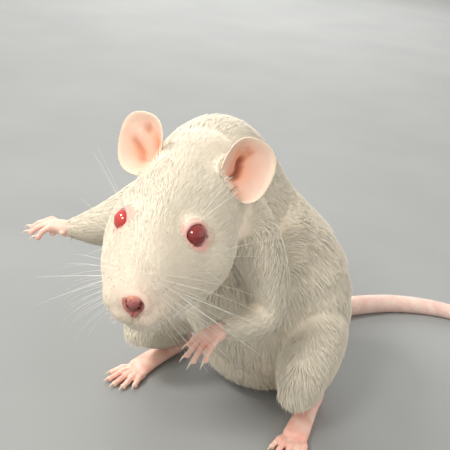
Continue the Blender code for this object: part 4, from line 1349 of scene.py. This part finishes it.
def tail(name):
    """The tail with its rings of small scales, and the few short bristles between them."""
    rows, even = tail_rows()
    ways = unit(np.gradient(rows[:, :3], axis=0))
    turn = turns(TAIL_SIDES)
    rings = []
    for k, (row, along) in enumerate(zip(rows, ways)):
        wide, deep = square_to(along, TAIL_ACROSS)
        step = (k % TAIL_RING_ROWS) / TAIL_RING_ROWS
        ring = k // TAIL_RING_ROWS
        ridge = 0.035 * (step - 0.4)
        scale = 0.018 * np.abs(np.cos(turn * 9 + (ring % 2) * math.pi / 2)) * (step > 0)
        radius = row[3] * (1 + ridge + scale)
        rings.append(row[:3] + np.outer(np.cos(turn) * radius, wide) + np.outer(np.sin(turn) * radius, deep))
    tip, along = rings[-1], ways[-1]
    for size, push in on_circle(30, 60, 80):
        rings.append(rows[-1, :3] + (tip - rows[-1, :3]) * size + along * push * rows[-1, 3])
    made = skin_rings(name, rings)
    move_points(made, above_floor(points_of(made)))
    random = np.random.default_rng(SEED + 500)
    chosen = random.integers(TAIL_RING_ROWS * 14, len(rows) - 4, TAIL_BRISTLES)
    angle = random.uniform(0, 2 * math.pi, len(chosen))
    along = ways[chosen]
    wide = unit(np.array(TAIL_ACROSS) - (along @ np.array(TAIL_ACROSS))[:, None] * along)
    deep = np.cross(along, wide)
    normal = np.cos(angle)[:, None] * wide + np.sin(angle)[:, None] * deep
    roots = placed(rows[chosen, :3] + normal * rows[chosen, 3][:, None]) + normal * 0.25
    spots = np.stack([0.05 + 0.9 * even[chosen] / even[-1], 0.05 + 0.9 * angle / (2 * math.pi)], 1)
    values = np.tile((1.0, 0.09, 13, 0, 0, 0.3), (len(chosen), 1))
    values[:, LENGTH] += 0.25 * rows[chosen, 3]
    keep = roots[:, 2] > 0.6
    fields = [field[keep] for field in (roots, along, normal, values)]
    return made, tufts("tail_bristles", *fields, TAIL_FALL, spots[keep], SEED + 501, sharp=True)


# Materials


def shader_of(made):
    return made.node_tree.nodes["Principled BSDF"]


def add(tree, kind, links=(), mode=None, **fixed):
    """A new node with its inputs set or linked. An underscore in an input's name stands for a space."""
    made = tree.nodes.new(f"ShaderNode{kind}")
    if kind == "Math":
        made.operation = mode
    elif kind == "TexVoronoi":
        made.feature = mode
    for socket, value in fixed.items():
        made.inputs[socket.replace("_", " ")].default_value = value
    for socket, source in dict(links).items():
        tree.links.new(source, made.inputs[socket])
    return made


def material(name, roughness, **fixed):
    """A Principled material with its constant values set on the shader's own sockets."""
    made = bpy.data.materials.new(name)
    made.use_nodes = True
    for socket, value in {"Roughness": roughness, **fixed}.items():
        shader_of(made).inputs[socket.replace("_", " ")].default_value = value
    return made


# How high the creases stand beside the pores in the skin's grain
CREASE_HEIGHT = 1.4


def skin_grain():
    """The blotches, fine creases and pores that bare skin shows, as a shared group."""
    group = bpy.data.node_groups.new("skin_grain", "ShaderNodeTree")
    sockets = {"Blotch Scale": "INPUT", "Crease Scale": "INPUT", "Blotch": "OUTPUT", "Height": "OUTPUT"}
    for name, way in sockets.items():
        group.interface.new_socket(name, in_out=way, socket_type="NodeSocketFloat")
    start, end = group.nodes.new("NodeGroupInput"), group.nodes.new("NodeGroupOutput")
    place = add(group, "TexCoord").outputs["Object"]
    blotch = add(group, "TexNoise", {"Vector": place, "Scale": start.outputs["Blotch Scale"]}, Detail=4)
    finer = {"Vector": place, "Scale": start.outputs["Crease Scale"]}
    crease = add(group, "TexVoronoi", finer, "DISTANCE_TO_EDGE")
    fine = add(group, "TexNoise", finer, Detail=3)
    total = add(group, "Math", {0: crease.outputs["Distance"], 2: fine.outputs["Fac"]}, "MULTIPLY_ADD")
    total.inputs[1].default_value = CREASE_HEIGHT
    group.links.new(blotch.outputs["Fac"], end.inputs["Blotch"])
    group.links.new(total.outputs[0], end.inputs["Height"])
    return group


def grain_in(made, group, blotch, crease, strength, distance):
    """Places the shared grain in a material and feeds its height to the normal. Returns the blotch's socket."""
    tree = made.node_tree
    grain = tree.nodes.new("ShaderNodeGroup")
    grain.node_tree = group
    grain.inputs["Blotch Scale"].default_value = blotch
    grain.inputs["Crease Scale"].default_value = crease
    bump = add(tree, "Bump", {"Height": grain.outputs["Height"]}, Strength=strength, Distance=distance * MM)
    tree.links.new(bump.outputs["Normal"], shader_of(made).inputs["Normal"])
    return grain.outputs["Blotch"]


def mixed(made, share, first, second):
    """A mix of two colours or sockets by a share."""
    mix = made.node_tree.nodes.new("ShaderNodeMix")
    mix.data_type = "RGBA"
    made.node_tree.links.new(share, mix.inputs[0])
    for socket, value in ((mix.inputs[6], first), (mix.inputs[7], second)):
        if isinstance(value, tuple):
            socket.default_value = (*value, 1)
        else:
            made.node_tree.links.new(value, socket)
    return mix.outputs[2]


def attribute(made, name, output="Fac"):
    found = add(made.node_tree, "Attribute")
    found.attribute_name = name
    return found.outputs[output]


def ranged(made, value, low, high, to_low=0.0, to_high=1.0):
    """A value's range from low to high taken to another range."""
    fixed = {"From_Min": low, "From_Max": high, "To_Min": to_low, "To_Max": to_high}
    return add(made.node_tree, "MapRange", {"Value": value}, **fixed).outputs["Result"]


def base_colour(made, socket):
    made.node_tree.links.new(socket, shader_of(made).inputs["Base Color"])
    return made


CREAM_TIP = (0.97, 0.91, 0.77)
CREAM_ROOT = (0.93, 0.84, 0.68)
COAT_PINK = (0.96, 0.66, 0.52)
UNDER_COAT = (0.94, 0.85, 0.71)
BARE_PINK = (0.90, 0.48, 0.39)
BARE_PALE = (0.95, 0.66, 0.55)
FLESH_RADIUS = (1.0, 0.35, 0.22)


def coat_material():
    made = material("white_coat", 0.7, Specular_IOR_Level=0.3, Sheen_Weight=0.12, Sheen_Roughness=0.4)
    parts = add(made.node_tree, "SeparateColor", {"Color": attribute(made, "coat", "Color")})
    tip, chance, pink = parts.outputs["Red"], parts.outputs["Green"], parts.outputs["Blue"]
    along = mixed(made, tip, CREAM_ROOT, CREAM_TIP)
    varied = mixed(made, ranged(made, chance, 0, 1, 0.0, 0.42), along, (0.84, 0.70, 0.50))
    return base_colour(made, mixed(made, ranged(made, pink, 0, 1, 0.0, 0.8), varied, COAT_PINK))


def skin_material(grain):
    """Skin under the coat, pinker where the coat is short."""
    made = material("coat_skin", 0.7)
    blotch = grain_in(made, grain, 160, 1400, 0.25, 0.15)
    pink = attribute(made, "pink")
    base = mixed(made, pink, UNDER_COAT, BARE_PALE)
    base = mixed(made, ranged(made, pink, 0.6, 1.0), base, (0.90, 0.48, 0.42))
    return base_colour(made, mixed(made, ranged(made, blotch, 0.3, 0.8, 0.0, 0.35), base, (0.86, 0.60, 0.50)))


def flesh_material(name, roughness, weight, scale, radius=FLESH_RADIUS, **fixed):
    """A material that light passes into."""
    return material(
        name, roughness, Subsurface_Weight=weight, Subsurface_Scale=scale, Subsurface_Radius=radius, **fixed
    )


def bare_material(name, grain, pale, deep, roughness=0.5, crease=1500, strength=0.35):
    made = flesh_material(name, roughness, 0.25, 0.0015)
    blotch = grain_in(made, grain, 220, crease, strength, 0.12)
    return base_colour(made, mixed(made, ranged(made, blotch, 0.35, 0.7), pale, deep))


def ear_material(grain):
    """Thin, translucent ear: orange pink in its hollow, paler out to a light rim, with faint vessels and
    painted shade in its deeper folds.
    """
    made = flesh_material("ear_skin", 0.6, 0.15, 0.001, (1.0, 0.38, 0.22))
    blotch = grain_in(made, grain, 260, 1700, 0.22, 0.08)
    share = attribute(made, "share")
    deep = mixed(made, ranged(made, share, 0.1, 0.8), (0.90, 0.52, 0.40), (0.96, 0.68, 0.55))
    warm = mixed(made, attribute(made, "warmth"), deep, (0.88, 0.42, 0.24))
    pale = mixed(made, ranged(made, share, 0.86, 0.99), warm, (0.97, 0.78, 0.62))
    # Painted shade: the deeper folds are painted dark brown
    dark = mixed(made, ranged(made, attribute(made, "fold"), -0.15, -1.3), pale, (0.42, 0.12, 0.06))
    outside = mixed(made, ranged(made, share, 0.3, 1.0), (0.94, 0.72, 0.58), (0.97, 0.80, 0.66))
    both = mixed(made, attribute(made, "inner"), outside, dark)
    return base_colour(made, mixed(made, ranged(made, blotch, 0.50, 0.75, 0.0, 0.25), both, (0.88, 0.46, 0.34)))


# Painted shade and light: the left eye is painted a deep crimson as if it lay in shade, the right one a bright
# red as if it glowed
EYE_COLOURS = {
    "left": ((0.13, 0.010, 0.012), (0.27, 0.020, 0.018)),
    "right": ((0.30, 0.030, 0.025), (0.66, 0.055, 0.045)),
}


def eye_material(name, rim, bright):
    """A red eye of an animal without pigment: dark at its rim, with a painted glow, brighter towards its lower
    side, where light would pass through it.
    """
    made = material(name, 0.03, Coat_Weight=1.0, Coat_Roughness=0.01, IOR=1.376)
    body = mixed(made, attribute(made, "glow"), tuple(0.62 * c for c in bright), bright)
    return base_colour(made, mixed(made, ranged(made, attribute(made, "gaze"), 0.30, 0.72), rim, body))


def nose_material(grain):
    made = flesh_material("nose_skin", 0.42, 0.2, 0.001, Coat_Weight=0.2)
    blotch = grain_in(made, grain, 420, 2200, 0.9, 0.2)
    # Painted light: the nose's top is a lighter orange, as if lit from above
    lit = mixed(made, attribute(made, "top"), (0.47, 0.155, 0.13), (0.68, 0.30, 0.20))
    front = mixed(made, attribute(made, "bulb"), lit, (0.34, 0.085, 0.078))
    worn = mixed(made, ranged(made, blotch, 0.4, 0.7, 0.0, 0.4), front, (0.62, 0.30, 0.25))
    # The nostrils' near black red is painted shade
    return base_colour(made, mixed(made, attribute(made, "dark"), worn, (0.13, 0.012, 0.012)))


# Floor, lights and camera


def lamp(name, aim, way, distance, size, power, colour):
    """A square lamp that shines on a point from the given way and distance, in metres."""
    made = bpy.data.lights.new(name, "AREA")
    made.size = size
    made.energy = power
    made.color = colour
    placed_lamp = link(name, made)
    way = Vector(way).normalized()
    placed_lamp.location = Vector(aim) + way * distance
    placed_lamp.rotation_euler = way.to_track_quat("Z", "Y").to_euler()


# The photograph's size, the camera's distance from the eyes, how many pixels a millimetre takes there, its turn
# and rise from the head's front, its roll, and where in the picture the eyes' middle lies
FRAME_PIXELS = 450
EYE_DISTANCE = 240.0
EYE_SCALE = 3.62
CAMERA_TURN = math.radians(18.6)
CAMERA_RISE = math.radians(31.5)
CAMERA_ROLL = math.radians(1.8)
EYES_PIXEL = (159.9, 227.7)


def camera():
    """The photograph's view: before the head, above it and to its left."""
    level = math.cos(CAMERA_RISE)
    back = Vector((level * math.cos(CAMERA_TURN), level * math.sin(CAMERA_TURN), math.sin(CAMERA_RISE)))
    right = Vector((-math.sin(CAMERA_TURN), math.cos(CAMERA_TURN), 0))
    up = back.cross(right)
    rolled = right * math.cos(CAMERA_ROLL) + up * math.sin(CAMERA_ROLL)
    up = up * math.cos(CAMERA_ROLL) - right * math.sin(CAMERA_ROLL)
    turn = HEAD.to_3x3()
    back, right, up = turn @ back, turn @ rolled, turn @ up
    made = bpy.data.cameras.new("camera")
    placed_camera = link("camera", made)
    placed_camera.location = (EYES_MIDDLE + back * EYE_DISTANCE) * MM
    focal = EYE_SCALE * EYE_DISTANCE
    made.sensor_width = 36
    made.lens = focal / FRAME_PIXELS * made.sensor_width
    made.clip_start = 0.01
    axes = Matrix((right, up, back)).transposed()
    across = EYES_PIXEL[0] - FRAME_PIXELS / 2
    above = FRAME_PIXELS / 2 - EYES_PIXEL[1]
    ray = (axes @ Vector((across / focal, above / focal, -1))).normalized()
    aimed = ray.rotation_difference(-back).to_matrix() @ axes
    placed_camera.rotation_euler = aimed.to_euler()
    bpy.context.scene.camera = placed_camera
    return aimed


def stage(axes):
    """A plain pale floor, soft lamps given in the camera's right, up and back, and a pale sky."""
    select()
    bpy.ops.mesh.primitive_plane_add(size=6, location=(0, 0, 0))
    floor = bpy.context.active_object
    floor.name = "floor"
    made = material("pale_floor", 0.85)
    place = add(made.node_tree, "TexCoord").outputs["Object"]
    noise = ranged(made, add(made.node_tree, "TexNoise", {"Vector": place}, Scale=14).outputs["Fac"], 0.3, 0.7)
    base_colour(made, mixed(made, noise, (0.30, 0.31, 0.31), (0.325, 0.335, 0.335)))
    floor.data.materials.append(made)
    head = HEAD.translation * MM
    warm, plain = (1.0, 0.97, 0.92), (1.0, 0.99, 0.97)
    lamp("high_key", head, axes @ Vector((-0.56, 0.75, 0.35)), 0.8, 0.2, 3.7, warm)
    lamp("low_key", head, axes @ Vector((-0.38, 0.42, 0.82)), 0.8, 0.2, 2.5, warm)
    lamp("fill", head, axes @ Vector((0.95, 0.10, 0.25)), 1.0, 1.0, 1.4, warm)
    lamp("back", (0, 0, 0.06), axes @ Vector((0, 0.75, -0.66)), 0.9, 0.6, 4.0, plain)
    world = bpy.data.worlds.new("sky")
    bpy.context.scene.world = world
    world.use_nodes = True
    sky = world.node_tree.nodes["Background"]
    sky.inputs["Color"].default_value = (1.0, 0.975, 0.93, 1)
    sky.inputs["Strength"].default_value = 0.72
    bpy.context.scene.view_settings.view_transform = "Standard"


# The whole


def finish_piece(piece, made, slot, *nodes):
    """Gives a piece its material, hangs it from the root and hides the CAD nodes that it stands for. slot is
    not used.
    """
    piece.data.materials.clear()
    piece.data.materials.append(made)
    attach(piece, "root")
    if nodes:
        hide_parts(*nodes)


def build():
    grain = skin_grain()
    coat_finish = coat_material()
    bare = bare_material("bare_skin", grain, BARE_PALE, BARE_PINK)
    tail_skin = bare_material("tail_skin", grain, (0.86, 0.66, 0.58), (0.80, 0.52, 0.46), 0.55, 900, 0.2)
    ear_skin = ear_material(grain)
    body, owners, values, clear = skin()
    set_attribute(body, "pink", values[:, PINK])
    flesh = (*TRUNK_NODES, "head", "muzzle", "lower_jaw", *LIMB_NODES)
    finish_piece(body, skin_material(grain), "white_coat", *flesh)
    for tuft_piece in coat(body, owners, values, clear):
        finish_piece(tuft_piece, coat_finish, "white_coat")

    skin_points = points_of(body)
    skin_tree = tree_of(skin_points)
    hair = material("whisker_hair", 0.35, Base_Color=(0.93, 0.91, 0.86, 1))
    sheath_skin = bare_material("whisker_sheath", grain, (0.52, 0.36, 0.30), (0.36, 0.22, 0.19), 0.6)
    rim_skin = bare_material("lid_rim", grain, (0.86, 0.48, 0.42), (0.72, 0.30, 0.28), 0.3)
    for name, side in SIDES.items():
        finish_piece(ear(f"pinna_{name}", side), ear_skin, "pink_skin", f"ear_{name}")
        finish_piece(ear_down(f"ear_down_{name}", side, SEED + 200 + side), coat_finish, "pink_skin")
        ball = eyeball(f"eyeball_{name}", side)
        finish_piece(ball, eye_material(f"eye_{name}", *EYE_COLOURS[name]), "red_eye", f"eye_{name}")
        finish_piece(lids(f"lids_{name}", side), rim_skin, "pink_skin")
        whisker_piece, sheaths = whiskers(f"whiskers_{name}", side, skin_tree, skin_points)
        finish_piece(whisker_piece, hair, "white_coat")
        finish_piece(sheaths, sheath_skin, "pink_skin")
    finish_piece(long_hairs("feelers", skin_tree, skin_points), hair, "white_coat")
    finish_piece(nose("nose"), nose_material(grain), "pink_skin")

    claw_skin = material(
        "claw_horn", 0.3, Subsurface_Weight=0.2, Subsurface_Scale=0.001, Base_Color=(0.80, 0.66, 0.54, 1)
    )
    paws = [(forepaw(f"{name}_forepaw", *FOREPAWS[name]), f"forepaw_{name}") for name in SIDES]
    paws += [(hind_foot(f"{name}_hind_foot", side), f"hind_foot_{name}") for name, side in SIDES.items()]
    for (paw, claws), node in paws:
        finish_piece(paw, bare, "pink_skin", node)
        finish_piece(claws, claw_skin, "pink_skin")
    tail_piece, bristles = tail("tail")
    finish_piece(tail_piece, tail_skin, "pink_skin", *[f"tail_{k}" for k in range(1, 6)])
    finish_piece(bristles, coat_finish, "pink_skin")


stage(camera())
build()
